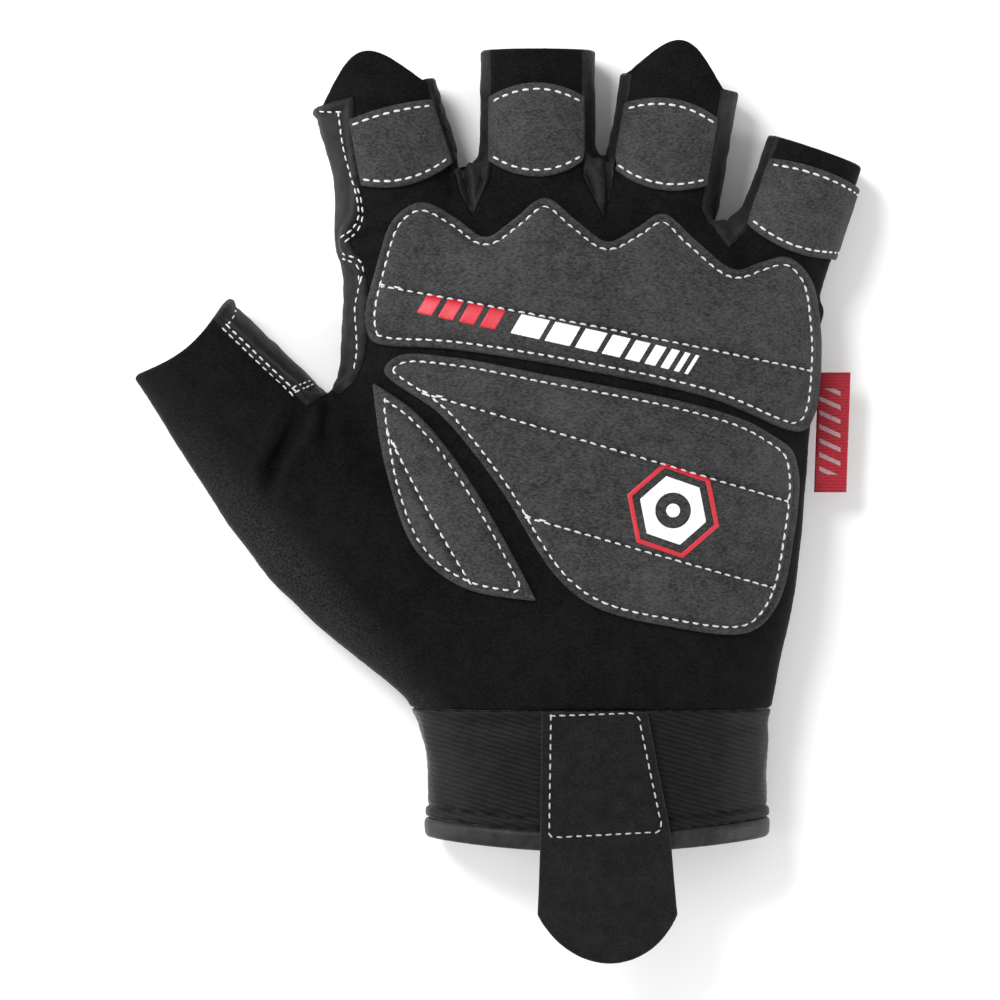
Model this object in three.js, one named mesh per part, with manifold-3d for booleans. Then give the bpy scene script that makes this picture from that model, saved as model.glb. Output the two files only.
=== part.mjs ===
// Left-hand weightlifting glove, open-fingered, lying on the back of its hand with the padded palm up.
// Units are millimetres: +X towards the little finger, +Y towards the fingertips, +Z out of the palm.
// The cloth is cut from layers wrapped round a hand form, as a glove is cut and sewn round a last.
// Plan positions are shares of the palm's width and length, from the middle of the wrist seam.
import * as THREE from "three";
import { mergeVertices } from "three/addons/utils/BufferGeometryUtils.js";
import Module from "manifold-3d";

const wasm = await Module();
wasm.setup();

// Hand form
const PALM_WIDTH = 105;
const PALM_LENGTH = 119.5;
const PALM_RISE = 18.5; // palm's top above the side seams
const BACK_DROP = 8.5; // side seams above the flat back
const FINGER_WIDTH = 26;
const FINGER_REACH = 30; // root to rim
const FINGER_RISE = 10.5;
const FINGER_LEAN = 11; // degrees between neighbouring fingers
const TAB_REACH = 9.6; // pull tab beyond a finger's rim
const THUMB_WIDTH = 30;
const THUMB_REACH = 98; // wrist seam to thumb rim
const THUMB_RISE = 13;
const THUMB_LEAN = 39.8; // degrees from the hand's length
const THUMB_RIM_SAG = 2.8;
const THUMB_MARGIN = 2.4; // skin of the thumb that stays clear of the index side strip

// Cloth and trim
const CLOTH = 1.4;
const SEAM_GAP = 0.3;
const GUSSET_SHOW = 3.6; // width of a finger gusset seen from the palm
const GUSSET_FOOT = 2.6; // height of the gussets' lower seam
const PAD_FOOT = 1; // least height of a pad or patch above the side seams
const FLANGE = 1.2; // sewn-down edge of a palm pad
const CROWN = 1.9; // foam above the flange
const FLANGE_WIDTH = 2.7;
const CHANNEL_WIDTH = 1.8;
const PATCH = 1.1;
const PATCH_MARGIN = 0.5;

// Cuff, closure tab and label
const CUFF_LENGTH = 26.2; // wrist seam to the cuff's edge at its sides
const CUFF_BOW = 4.8; // how much further the edge reaches in the middle
const BINDING_HEIGHT = 4.4;
const BINDING_PROUD = 0.8;
const TAB_THICK = 1.6;
const TONGUE_WIDTH = 29;
const TONGUE_REACH = 55; // wrist seam to the tongue's end
const TONGUE_SHOULDER = 11; // straight side to the tongue's end
const TONGUE_SKEW = 2.6; // how far the tongue hangs towards the little finger
const TONGUE_FLARE = 0.6; // how much narrower each side is at the cuff's edge
const CLOSURE_LAP = 0.4; // wrist seam to the closure tab's upper edge
const LABEL_WIDTH = 7.6;
const LABEL_LENGTH = 26.5;
const LABEL_THICK = 1;
const LABEL_LEAN = 0.9; // how much less the label stands out at its lower end
const LABEL_TUCK = 6; // sewn into the seam, before it is cut clear

const FAR = 400; // beyond every cut
const OVERRUN = 6; // how far the hollow and the cuts run past the open ends

// Rows of a limb of the form: along and the two edges as shares of its reach and width, rise as a share of its rise.
const PALM_ROWS = [
  { along: -0.5, left: -0.15, right: 0.18, rise: 0.62 },
  { along: -0.36, left: -0.26, right: 0.27, rise: 0.86 },
  { along: -0.26, left: -0.353, right: 0.36, rise: 1.08 },
  { along: -0.08, left: -0.352, right: 0.362, rise: 1.13 },
  { along: 0, left: -0.39, right: 0.37, rise: 1.13 },
  { along: 0.1, left: -0.42, right: 0.394, rise: 1.12 },
  { along: 0.2, left: -0.45, right: 0.42, rise: 1.1 },
  { along: 0.33, left: -0.49, right: 0.438, rise: 1.06 },
  { along: 0.46, left: -0.515, right: 0.448, rise: 1.0 },
  { along: 0.57, left: -0.53, right: 0.46, rise: 0.96 },
  { along: 0.7, left: -0.528, right: 0.474, rise: 0.9 },
];
// Rows that turn from the last straight one into the curve of the knuckles.
const KNUCKLE_ROWS = [
  { share: 0.4, rise: 0.8 },
  { share: 0.75, rise: 0.64 },
  { share: 1, rise: 0.42 },
];
const KNUCKLE_LEFT = -0.53;
const KNUCKLE_RIGHT = 0.488;
// The knuckles' curve, through the crotches: along at a share across the hand.
const KNUCKLE_CURVE = [
  { across: 0, along: 0.84 },
  { across: 0.255, along: 0.99 },
  { across: 0.53, along: 1.02 },
  { across: 0.8, along: 0.885 },
  { across: 1, along: 0.74 },
];
const THUMB_ROWS = [
  { along: -0.06, left: 0.1, right: 0.9, rise: 1.2 },
  { along: 0.1, left: 0.0, right: 1.14, rise: 1.34 },
  { along: 0.27, left: -0.12, right: 1.22, rise: 1.36 },
  { along: 0.45, left: -0.19, right: 1.2, rise: 1.28 },
  { along: 0.62, left: -0.16, right: 1.1, rise: 1.16 },
  { along: 0.8, left: -0.09, right: 0.99, rise: 1.06 },
  { along: 1, left: 0, right: 0.91, rise: 0.96 },
  { along: 1.12, left: 0.02, right: 0.9, rise: 0.94 },
];
// Fingers: root place, lean in steps of FINGER_LEAN, sizes as shares, pull tab height, and the gusset seen on each side.
const FINGERS = [
  { name: "index", across: -0.393, along: 0.888, lean: -1.3, root: 1.21, rim: 1.07, reach: 1.02, tab: 0.96, left: 1.75, right: 1.0 },
  { name: "middle", across: -0.121, along: 0.948, lean: 0.0, root: 1.0, rim: 0.98, reach: 1.06, tab: 0, left: 0.85, right: 1.0 },
  { name: "ring", across: 0.129, along: 0.902, lean: 0.88, root: 1.03, rim: 1.02, reach: 1.02, tab: 0.93, left: 0.9, right: 1.25 },
  { name: "little", across: 0.384, along: 0.825, lean: 1.72, root: 0.87, rim: 0.85, reach: 0.86, tab: 0, left: 1.0, right: 0 },
];
const FINGER_ROWS = [
  { along: -0.85, width: 0.9, rise: 0.9 },
  { along: -0.35, width: 1, rise: 1.08 },
  { along: 0.1, width: 1, rise: 1.1 },
  { along: 0.55, width: 0.5, rise: 1.05 },
  { along: 1, width: 0, rise: 1 },
  { along: 1.5, width: 0, rise: 0.97 },
];
// Crotch tips of the gussets, where their palm seams meet.
const GUSSET_TIPS = [
  { name: "gusset_index_middle", across: -0.258, along: 0.908 },
  { name: "gusset_middle_ring", across: 0.021, along: 0.898 },
  { name: "gusset_ring_little", across: 0.279, along: 0.849 },
];
// Palm seam of the side strip, from the index finger's rim down to the thumb's crotch.
const INDEX_STRIP_SEAM = [
  { across: -0.512, along: 1.25 },
  { across: -0.505, along: 1.1 },
  { across: -0.494, along: 0.915 },
  { across: -0.52, along: 0.862 },
  { across: -0.486, along: 0.81 },
  { across: -0.476, along: 0.74 },
  { across: -0.484, along: 0.65 },
  { across: -0.502, along: 0.6 },
  { across: -0.54, along: 0.585 },
];
const THUMB_STRIP_SHOW = 1.55; // in widths of a gusset
const THUMB_STRIP_FOOT = 0.675; // where the strip ends, as a share of the thumb's reach

// Reinforcing patches on the fingers: lower and upper edge as shares of the reach, and how far each edge bows out.
const PATCHES = [
  { finger: "index", low: 0.36, high: 0.84, bowLow: 0.08, bowHigh: 0.02 },
  { finger: "middle", low: 0.22, high: 0.67, bowLow: 0.11, bowHigh: 0.09 },
  { finger: "ring", low: 0.29, high: 0.78, bowLow: 0.09, bowHigh: 0.08 },
  { finger: "little", low: 0.2, high: 0.8, bowLow: 0.1, bowHigh: 0.04 },
];

// Palm pads: outline and sewn channels, as shares across and along the palm.
const PADS = [
  {
    name: "pad_knuckles",
    outline: [
      [-0.466, 0.677], [-0.478, 0.718], [-0.457, 0.81], [-0.421, 0.9], [-0.367, 0.93], [-0.295, 0.902],
      [-0.23, 0.865], [-0.17, 0.898], [-0.107, 0.937], [-0.038, 0.893], [0.023, 0.856], [0.082, 0.88],
      [0.14, 0.909], [0.203, 0.862], [0.289, 0.805], [0.344, 0.819], [0.4, 0.83], [0.446, 0.792],
      [0.466, 0.7], [0.466, 0.61], [0.455, 0.545], [0.43, 0.512], [0.396, 0.514], [0.241, 0.569],
      [-0.031, 0.622], [-0.304, 0.66], [-0.44, 0.668],
    ],
    channels: [[[-0.5, 0.785], [0.5, 0.612]]],
  },
  {
    name: "pad_heel",
    outline: [
      [-0.439, 0.62], [-0.411, 0.648], [-0.3, 0.645], [-0.101, 0.612], [0.172, 0.565], [0.308, 0.53],
      [0.396, 0.484], [0.422, 0.425], [0.408, 0.313], [0.375, 0.195], [0.318, 0.143], [0.14, 0.155],
      [-0.006, 0.19], [-0.086, 0.247], [-0.203, 0.409], [-0.321, 0.538],
    ],
    channels: [[[-0.4, 0.59], [0.46, 0.365]], [[-0.2, 0.366], [0.42, 0.21]]],
  },
  {
    name: "pad_thumb",
    outline: [
      [-0.459, 0.594], [-0.379, 0.547], [-0.3, 0.467], [-0.216, 0.352], [-0.126, 0.204], [-0.27, 0.222],
      [-0.373, 0.289], [-0.43, 0.412],
    ],
    channels: [[[-0.448, 0.53], [-0.232, 0.19]]],
  },
];
const LABEL_TOP = 0.62; // the side label's upper edge, along the palm
const CLOSURE_LEFT = -0.111; // the closure tab's upper corners, across the palm
const CLOSURE_RIGHT = 0.105;

const COLOURS = {
  palm: { color: 0x1d1d1e, roughness: 0.85 },
  back: { color: 0x1a1a1b, roughness: 0.8 },
  gusset: { color: 0x2b2b2c, roughness: 0.75 },
  suede: { color: 0x444445, roughness: 0.95 },
  elastic: { color: 0x242425, roughness: 0.7 },
  binding: { color: 0x2c2c2d, roughness: 0.65 },
  felt: { color: 0x232324, roughness: 1 },
  label: { color: 0xb81d33, roughness: 0.45 },
};

const radians = THREE.MathUtils.degToRad;
const lerp = THREE.MathUtils.lerp;

/** A place in plan, from shares across and along the palm. */
const plan = (across, along) => new THREE.Vector2(across * PALM_WIDTH, along * PALM_LENGTH);

/** A place in plan from a limb's own axes: p across it, q along it. */
function onLimb(origin, lean, p, q) {
  const c = Math.cos(lean);
  const s = Math.sin(lean);
  return new THREE.Vector2(origin.x + p * c + q * s, origin.y - p * s + q * c);
}

/** The value of one column of a table at a place, straight between its rows. */
function between(rows, place, key, value) {
  const last = rows.length - 1;
  if (value <= rows[0][place]) return rows[0][key];
  for (let i = 1; i <= last; i++) {
    if (value > rows[i][place]) continue;
    const share = (value - rows[i - 1][place]) / (rows[i][place] - rows[i - 1][place]);
    return lerp(rows[i - 1][key], rows[i][key], share);
  }
  return rows[last][key];
}

/** A closed three.js geometry as a solid that can be cut and joined. */
function solidOf(geometry) {
  const bare = geometry.clone();
  bare.deleteAttribute("normal");
  bare.deleteAttribute("uv");
  const merged = mergeVertices(bare, 1e-4);
  const corners = merged.index.array;
  const kept = [];
  for (let i = 0; i < corners.length; i += 3) {
    const [a, b, c] = [corners[i], corners[i + 1], corners[i + 2]];
    if (a !== b && b !== c && c !== a) kept.push(a, b, c);
  }
  return new wasm.Manifold(
    new wasm.Mesh({
      numProp: 3,
      vertProperties: merged.attributes.position.array,
      triVerts: new Uint32Array(kept),
    }),
  );
}

/** A solid as a three.js geometry. */
function geometryOf(solid) {
  const mesh = solid.getMesh();
  const corners = new Float32Array(mesh.numVert * 3);
  for (let i = 0; i < mesh.numVert; i++)
    corners.set(mesh.vertProperties.subarray(i * mesh.numProp, i * mesh.numProp + 3), i * 3);
  const geometry = new THREE.BufferGeometry();
  geometry.setAttribute("position", new THREE.BufferAttribute(corners, 3));
  geometry.setIndex(new THREE.BufferAttribute(mesh.triVerts, 1));
  geometry.computeVertexNormals();
  return geometry;
}

/** An upright prism over a plan outline, from one height to another. */
function prism(outline, low = -FAR, high = FAR) {
  const turned = THREE.ShapeUtils.area(outline) < 0 ? [...outline].reverse() : outline;
  const geometry = new THREE.ExtrudeGeometry(new THREE.Shape(turned), { depth: high - low, bevelEnabled: false });
  return solidOf(geometry.translate(0, 0, low));
}

/** A closed smooth outline through shares of the palm. */
function smoothOutline(shares, steps = 2) {
  const places = shares.map(([across, along]) => plan(across, along)).map((v) => new THREE.Vector3(v.x, v.y, 0));
  const curve = new THREE.CatmullRomCurve3(places, true, "centripetal");
  return curve.getPoints(places.length * steps).slice(0, -1).map((v) => new THREE.Vector2(v.x, v.y));
}

/** How far a place in plan is from a closed outline. */
function distanceTo(outline, place) {
  return outline.reduce((least, from, i) => {
    const to = outline[(i + 1) % outline.length];
    const line = new THREE.Line3(new THREE.Vector3(from.x, from.y, 0), new THREE.Vector3(to.x, to.y, 0));
    const at = new THREE.Vector3(place.x, place.y, 0);
    return Math.min(least, line.closestPointToPoint(at, true, new THREE.Vector3()).distanceTo(at));
  }, FAR);
}

/** An outline moved inwards by a distance, without the corners that close up on the way. */
function insetOutline(outline, inward) {
  const turn = Math.sign(THREE.ShapeUtils.area(outline));
  const moved = outline.map((place, i) => {
    const a = place.clone().sub(outline.at(i - 1)).normalize();
    const b = outline[(i + 1) % outline.length].clone().sub(place).normalize();
    const inside = a.clone().add(b).rotateAround(new THREE.Vector2(), (turn * Math.PI) / 2).normalize();
    return place.clone().addScaledVector(inside, inward / Math.max(0.5, Math.sqrt((1 + a.dot(b)) / 2)));
  });
  return moved.filter((place) => distanceTo(outline, place) > 0.998 * inward);
}

/** Columns across a section: x, the height above the side seams and the depth below them. */
function sectionColumns(halfWidth, rise, drop, offset, inner, boxiness) {
  const columns = [];
  const edge = halfWidth - drop;
  const topAt = (x) => {
    const share = Math.min(1, Math.abs(x) / (halfWidth + offset));
    return (rise + offset) * (1 - share ** boxiness) ** (1 / boxiness);
  };
  for (const side of [-1, 1]) {
    const corner = [0, 30, 60, 90].map((degrees) => {
      const x = side * (edge + (drop + offset) * Math.cos(radians(degrees)));
      return { x, top: degrees === 0 ? 0 : topAt(x), bottom: (drop + offset) * Math.sin(radians(degrees)) };
    });
    if (side < 0) {
      columns.push(...corner);
      for (let i = 1; i < inner; i++) {
        const x = lerp(-edge, edge, i / inner);
        columns.push({ x, top: topAt(x), bottom: drop + offset });
      }
    } else columns.push(...corner.reverse());
  }
  return columns;
}

/** A closed loft through sections, each a row of top and bottom points that meet at both ends. */
function loft(sections) {
  const soup = [];
  const face = (a, b, c) => soup.push(...a, ...b, ...c);
  const quad = (a, b, c, d) => {
    face(a, b, c);
    face(a, c, d);
  };
  const columns = sections[0].length;
  for (let i = 0; i + 1 < columns; i++) {
    for (let k = 0; k + 1 < sections.length; k++) {
      const [near, next] = [sections[k], sections[k + 1]];
      quad(near[i].top, near[i + 1].top, next[i + 1].top, next[i].top);
      quad(near[i].bottom, next[i].bottom, next[i + 1].bottom, near[i + 1].bottom);
    }
    const [start, end] = [sections[0], sections.at(-1)];
    quad(start[i].bottom, start[i + 1].bottom, start[i + 1].top, start[i].top);
    quad(end[i].top, end[i + 1].top, end[i + 1].bottom, end[i].bottom);
  }
  const geometry = new THREE.BufferGeometry();
  geometry.setAttribute("position", new THREE.Float32BufferAttribute(soup, 3));
  return solidOf(geometry);
}

/** One section of a limb as points: place turns a column's x into plan. */
function section(columns, place) {
  return columns.map(({ x, top, bottom }) => {
    const at = place(x);
    return { top: [at.x, at.y, BACK_DROP + top], bottom: [at.x, at.y, BACK_DROP - bottom] };
  });
}

const PALM_INNER = 12;
const PALM_BOXINESS = 2.5;
const LIMB_INNER = 5;
const LIMB_BOXINESS = 2.1;

/** The palm and wrist of the form, grown by an offset. */
function palmForm(offset) {
  const sections = [];
  const lastRow = PALM_ROWS.at(-1);
  const straight = PALM_ROWS.map((row) => ({ ...row, share: 0 }));
  const turned = KNUCKLE_ROWS.map((row) => ({ ...lastRow, ...row }));
  for (const row of [...straight, ...turned]) {
    const left = lerp(row.left, KNUCKLE_LEFT, row.share) * PALM_WIDTH;
    const right = lerp(row.right, KNUCKLE_RIGHT, row.share) * PALM_WIDTH;
    const half = (right - left) / 2;
    const columns = sectionColumns(half, row.rise * PALM_RISE, BACK_DROP, offset, PALM_INNER, PALM_BOXINESS);
    const grown = row.share === 1 ? offset : 0;
    const wristEnd = row === straight[0] && offset < 0 ? -OVERRUN : 0;
    sections.push(
      section(columns, (x) => {
        const across = (x + half) / (2 * half);
        const curve = between(KNUCKLE_CURVE, "across", "along", across);
        const along = lerp(row.along, curve, row.share) * PALM_LENGTH;
        return new THREE.Vector2((left + right) / 2 + x, along + grown + wristEnd);
      }),
    );
  }
  return loft(sections);
}

/** A finger or the thumb of the form, grown by an offset. Rows hold sizes in millimetres. */
function limbForm(origin, lean, rows, offset) {
  const hollowEnd = offset < 0 ? OVERRUN : 0;
  const sections = rows.map((row, i) => {
    const half = (row.right - row.left) / 2;
    const middle = (row.right + row.left) / 2;
    const columns = sectionColumns(half, row.rise, BACK_DROP, offset, LIMB_INNER, LIMB_BOXINESS);
    const q = row.along + (i === rows.length - 1 ? hollowEnd : 0);
    return section(columns, (x) => onLimb(origin, lean, middle + x, q));
  });
  return loft(sections);
}

/** A finger's working sizes, from its row of the table. */
function fingerSizes(row) {
  return {
    ...row,
    origin: plan(row.across, row.along),
    lean: radians(row.lean * FINGER_LEAN),
    reach: row.reach * FINGER_REACH,
    rootWidth: row.root * FINGER_WIDTH,
    rimWidth: row.rim * FINGER_WIDTH,
    tab: row.tab * TAB_REACH,
  };
}

/** Half of a finger's width at a place along it. */
const fingerHalf = (finger, q) => lerp(finger.rootWidth, finger.rimWidth, Math.min(1, Math.max(0, q / finger.reach))) / 2;

const fingers = FINGERS.map(fingerSizes);
const thumb = { origin: plan(-0.373, -0.02), lean: -radians(THUMB_LEAN) };

/** The whole hand form, grown by an offset, kept once made. */
const forms = new Map();
function handForm(offset) {
  if (forms.has(offset)) return forms.get(offset);
  const limbs = fingers.map((finger) => {
    const rows = FINGER_ROWS.map((row) => {
      const half = fingerHalf(finger, row.along * finger.reach) * (row.along < 0 ? row.width : 1);
      return { along: row.along * finger.reach, left: -half, right: half, rise: row.rise * FINGER_RISE };
    });
    return limbForm(finger.origin, finger.lean, rows, offset);
  });
  const thumbRows = THUMB_ROWS.map((row) => ({
    along: row.along * THUMB_REACH,
    left: row.left * THUMB_WIDTH,
    right: row.right * THUMB_WIDTH,
    rise: row.rise * THUMB_RISE,
  }));
  limbs.push(limbForm(thumb.origin, thumb.lean, thumbRows, offset));
  const whole = limbs.reduce((sum, limb) => sum.add(limb), palmForm(offset));
  forms.set(offset, whole);
  return whole;
}

/** The layer round the form between two offsets. */
const layer = (low, high) => handForm(high).subtract(handForm(low));

const slab = (low, high) => prism([new THREE.Vector2(-FAR, -FAR), new THREE.Vector2(FAR, -FAR), new THREE.Vector2(FAR, FAR), new THREE.Vector2(-FAR, FAR)], low, high);

/** How far across a finger its side seam is at a place along it: side is -1 or 1. */
function seamAcross(finger, side, q) {
  const show = (side < 0 ? finger.left : finger.right) * GUSSET_SHOW;
  return side * (fingerHalf(finger, q) - show);
}

/** A place on a finger's side seam, moved outwards by a distance. */
const fingerSeam = (finger, side, q, move = 0) =>
  onLimb(finger.origin, finger.lean, seamAcross(finger, side, q) + side * move, q);

/** The plan region of a gusset between two fingers, its seams moved into the palm cloth by a distance. */
function gussetRegion(index, move) {
  const [a, b] = [fingers[index], fingers[index + 1]];
  const tip = GUSSET_TIPS[index];
  const tipPlace = plan(tip.across, tip.along);
  const past = 2 * FINGER_REACH;
  const low = 0.12;
  return [
    fingerSeam(a, 1, past, -move),
    fingerSeam(a, 1, a.reach * low, -move),
    new THREE.Vector2(tipPlace.x, tipPlace.y - move * 1.6),
    fingerSeam(b, -1, b.reach * low, -move),
    fingerSeam(b, -1, past, -move),
  ];
}

/** The plan region of the strip from the index finger's side down to the thumb's crotch. */
function indexStripRegion(move) {
  const shift = new THREE.Vector2(move, -0.4 * move);
  return [
    ...INDEX_STRIP_SEAM.map(({ across, along }) => plan(across, along).add(shift)),
    plan(-0.545, 0.6),
    plan(-0.56, 0.66),
    plan(-0.64, 1.0),
    plan(-0.64, 1.4),
  ];
}

/** The thumb in plan, with a margin round it that a distance narrows. */
function thumbCorridor(move) {
  const margin = THUMB_MARGIN - move;
  const rows = THUMB_ROWS.filter((row) => row.along > 0.4);
  const edge = (row, side, p) => onLimb(thumb.origin, thumb.lean, row[side] * THUMB_WIDTH + p, row.along * THUMB_REACH);
  return [...rows.map((row) => edge(row, "left", -margin)), ...rows.map((row) => edge(row, "right", margin)).reverse()];
}

/** The plan region of the strip on the thumb's inner side. */
function thumbStripRegion(move) {
  const show = THUMB_STRIP_SHOW * GUSSET_SHOW + move;
  const edge = (share) => between(THUMB_ROWS, "along", "right", share) * THUMB_WIDTH;
  const seam = [1.3, 1, 0.85, 0.72].map((share) => onLimb(thumb.origin, thumb.lean, edge(share) - show, share * THUMB_REACH));
  const foot = THUMB_STRIP_FOOT * THUMB_REACH - move;
  return [
    ...seam,
    onLimb(thumb.origin, thumb.lean, edge(THUMB_STRIP_FOOT) - show, foot),
    onLimb(thumb.origin, thumb.lean, edge(THUMB_STRIP_FOOT) + 0.6, foot),
    onLimb(thumb.origin, thumb.lean, edge(1) + show, foot + 2 * OVERRUN),
    onLimb(thumb.origin, thumb.lean, edge(1) + show, 1.3 * THUMB_REACH),
  ];
}

/** Everything past a finger's rim, but for its pull tab when asked. */
function beyondRim(finger, keepTab) {
  const half = finger.rimWidth / 2 + OVERRUN / 2;
  const ends = [finger.reach, finger.reach * 2.2];
  const corners = [[-half, ends[0]], [half, ends[0]], [half, ends[1]], [-half, ends[1]]];
  const block = prism(corners.map(([p, q]) => onLimb(finger.origin, finger.lean, p, q)));
  if (!keepTab || !finger.tab) return block;
  const bell = [];
  const steps = 12;
  const inset = GUSSET_SHOW * 0.35;
  for (let i = 0; i <= steps; i++) {
    const share = (2 * i) / steps - 1;
    const height = finger.tab * Math.cos((share * Math.PI) / 2) ** 1.15;
    bell.push(onLimb(finger.origin, finger.lean, share * (finger.rimWidth / 2 - inset), finger.reach + height));
  }
  bell.push(onLimb(finger.origin, finger.lean, finger.rimWidth / 2 - inset, finger.reach - inset));
  bell.push(onLimb(finger.origin, finger.lean, -finger.rimWidth / 2 + inset, finger.reach - inset));
  return block.subtract(prism(bell));
}

/** Everything past the thumb's rim, which sags towards the palm. */
function beyondThumb() {
  const steps = 10;
  const edge = [];
  const left = THUMB_ROWS[6].left * THUMB_WIDTH;
  const right = THUMB_ROWS[6].right * THUMB_WIDTH;
  for (let i = 0; i <= steps; i++) {
    const share = i / steps;
    const sag = THUMB_RIM_SAG * Math.sin(share * Math.PI);
    edge.push(onLimb(thumb.origin, thumb.lean, lerp(left - OVERRUN, right + OVERRUN, share), THUMB_REACH - sag));
  }
  edge.push(onLimb(thumb.origin, thumb.lean, right + OVERRUN, THUMB_REACH * 1.4));
  edge.push(onLimb(thumb.origin, thumb.lean, left - OVERRUN, THUMB_REACH * 1.4));
  return prism(edge);
}

/** A band across the wrist between two distances below the wrist seam; a bow share of 1 follows the cuff's edge. */
function wristBand(near, far, bowNear, bowFar) {
  const steps = 12;
  const half = PALM_WIDTH * 0.5;
  const edge = (distance, bow) =>
    Array.from({ length: steps + 1 }, (_, i) => {
      const share = (2 * i) / steps - 1;
      return new THREE.Vector2(share * half, -distance - bow * CUFF_BOW * Math.cos((share * Math.PI) / 2));
    });
  return prism([...edge(near, bowNear), ...edge(far, bowFar).reverse()]);
}

/** The cut-out round the hand's hollow: everything beyond the rims and below the wrist seam. */
function trimmings(keepTabs) {
  const cuts = fingers.map((finger) => beyondRim(finger, keepTabs));
  const belowWrist = wristBand(-SEAM_GAP / 2, FAR, 0, 0);
  return [...cuts, beyondThumb(), belowWrist].reduce((sum, cut) => sum.add(cut));
}

const shell = layer(-CLOTH, 0);
const gussetRegions = (move) => [0, 1, 2].map((i) => gussetRegion(i, move));
const palmTrim = trimmings(true);
const backTrim = trimmings(false);

/** The blocks that hold the gussets and side strips above a height, grown by a distance. */
function sideBlocks(move, low) {
  const strip = prism(indexStripRegion(move), low, FAR).subtract(prism(thumbCorridor(move)));
  const blocks = gussetRegions(move).map((region) => prism(region, low, FAR));
  return [...blocks, strip, prism(thumbStripRegion(move), low, FAR)];
}

/** The palm cloth, with the fronts of the fingers and thumb. */
function palmPanel() {
  const upper = shell.intersect(slab(BACK_DROP + SEAM_GAP / 2, FAR));
  return sideBlocks(SEAM_GAP, -FAR).reduce((cloth, block) => cloth.subtract(block), upper).subtract(palmTrim);
}

/** The back cloth, with the backs of the fingers and thumb. It lies flat where it rests. */
function backPanel() {
  const lower = shell.intersect(slab(-FAR, BACK_DROP - SEAM_GAP / 2));
  const blocks = sideBlocks(SEAM_GAP, GUSSET_FOOT - SEAM_GAP);
  return blocks.reduce((cloth, block) => cloth.subtract(block), lower).subtract(backTrim);
}

/** The gussets and side strips: the shell's side walls inside their blocks. */
const sideWalls = sideBlocks(0, GUSSET_FOOT).map((block) => shell.intersect(block).subtract(backTrim));

/** A reinforcing patch across a finger's front. It wraps round a side that has no gusset. */
function fingerPatch(row) {
  const finger = fingers.find((f) => f.name === row.finger);
  const steps = 8;
  const edge = (level, bow) =>
    Array.from({ length: steps + 1 }, (_, i) => {
      const share = (2 * i) / steps - 1;
      const q = (level + bow * (1 - share * share)) * finger.reach;
      const left = seamAcross(finger, -1, q) + PATCH_MARGIN;
      const right = seamAcross(finger, 1, q) + (finger.right ? -PATCH_MARGIN : 2 * PATCH);
      return onLimb(finger.origin, finger.lean, lerp(left, right, i / steps), q);
    });
  const outline = [...edge(row.low, -row.bowLow), ...edge(row.high, row.bowHigh).reverse()];
  return layer(SEAM_GAP, SEAM_GAP + PATCH).intersect(prism(outline, BACK_DROP + PAD_FOOT, FAR));
}

/** A palm pad: a sewn-down flange with foam crowns parted by sewn channels. */
function palmPad(row) {
  const above = BACK_DROP + PAD_FOOT;
  const outline = smoothOutline(row.outline);
  const inner = insetOutline(outline, FLANGE_WIDTH);
  const flange = layer(SEAM_GAP, SEAM_GAP + FLANGE).intersect(prism(outline, above, FAR));
  let crown = layer(SEAM_GAP, SEAM_GAP + FLANGE + CROWN).intersect(prism(inner, above, FAR));
  const floor = handForm(SEAM_GAP + FLANGE);
  for (const [from, to] of row.channels) {
    const [a, b] = [plan(...from), plan(...to)];
    const aside = b.clone().sub(a).normalize().rotateAround(new THREE.Vector2(), Math.PI / 2).multiplyScalar(CHANNEL_WIDTH / 2);
    const strip = [a.clone().add(aside), b.clone().add(aside), b.clone().sub(aside), a.clone().sub(aside)];
    crown = crown.subtract(prism(strip).subtract(floor));
  }
  return flange.add(crown);
}

/** The closure tab: a trapezoid sewn over the cuff, and the rounded tongue that hangs past it. */
function closureTab() {
  const [left, right] = [CLOSURE_LEFT * PALM_WIDTH, CLOSURE_RIGHT * PALM_WIDTH];
  const middle = (left + right) / 2 + TONGUE_SKEW;
  const half = TONGUE_WIDTH / 2;
  const shoulder = TONGUE_REACH - TONGUE_SHOULDER;
  const outline = [
    new THREE.Vector2(left, -CLOSURE_LAP),
    new THREE.Vector2(right, -CLOSURE_LAP),
    new THREE.Vector2(middle + half - TONGUE_FLARE, -CUFF_LENGTH),
  ];
  const steps = 12;
  for (let i = 0; i <= steps; i++) {
    const turn = (i / steps) * Math.PI;
    outline.push(new THREE.Vector2(middle + half * Math.cos(turn), -shoulder - TONGUE_SHOULDER * Math.sin(turn)));
  }
  outline.push(new THREE.Vector2(middle - half + TONGUE_FLARE, -CUFF_LENGTH));
  const low = BINDING_PROUD + SEAM_GAP;
  return layer(low, low + TAB_THICK).intersect(prism(outline, BACK_DROP + PAD_FOOT, FAR));
}

/** The folded label that stands out of the side seam. */
function sideLabel() {
  const top = LABEL_TOP * PALM_LENGTH;
  const seamAt = between(PALM_ROWS, "along", "right", LABEL_TOP) * PALM_WIDTH;
  const outline = [
    new THREE.Vector2(seamAt - LABEL_TUCK, top),
    new THREE.Vector2(seamAt + LABEL_WIDTH, top),
    new THREE.Vector2(seamAt + LABEL_WIDTH - LABEL_LEAN, top - LABEL_LENGTH),
    new THREE.Vector2(seamAt - LABEL_TUCK, top - LABEL_LENGTH),
  ];
  const plate = prism(outline, BACK_DROP - LABEL_THICK / 2, BACK_DROP + LABEL_THICK / 2);
  return plate.subtract(handForm(SEAM_GAP));
}

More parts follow.
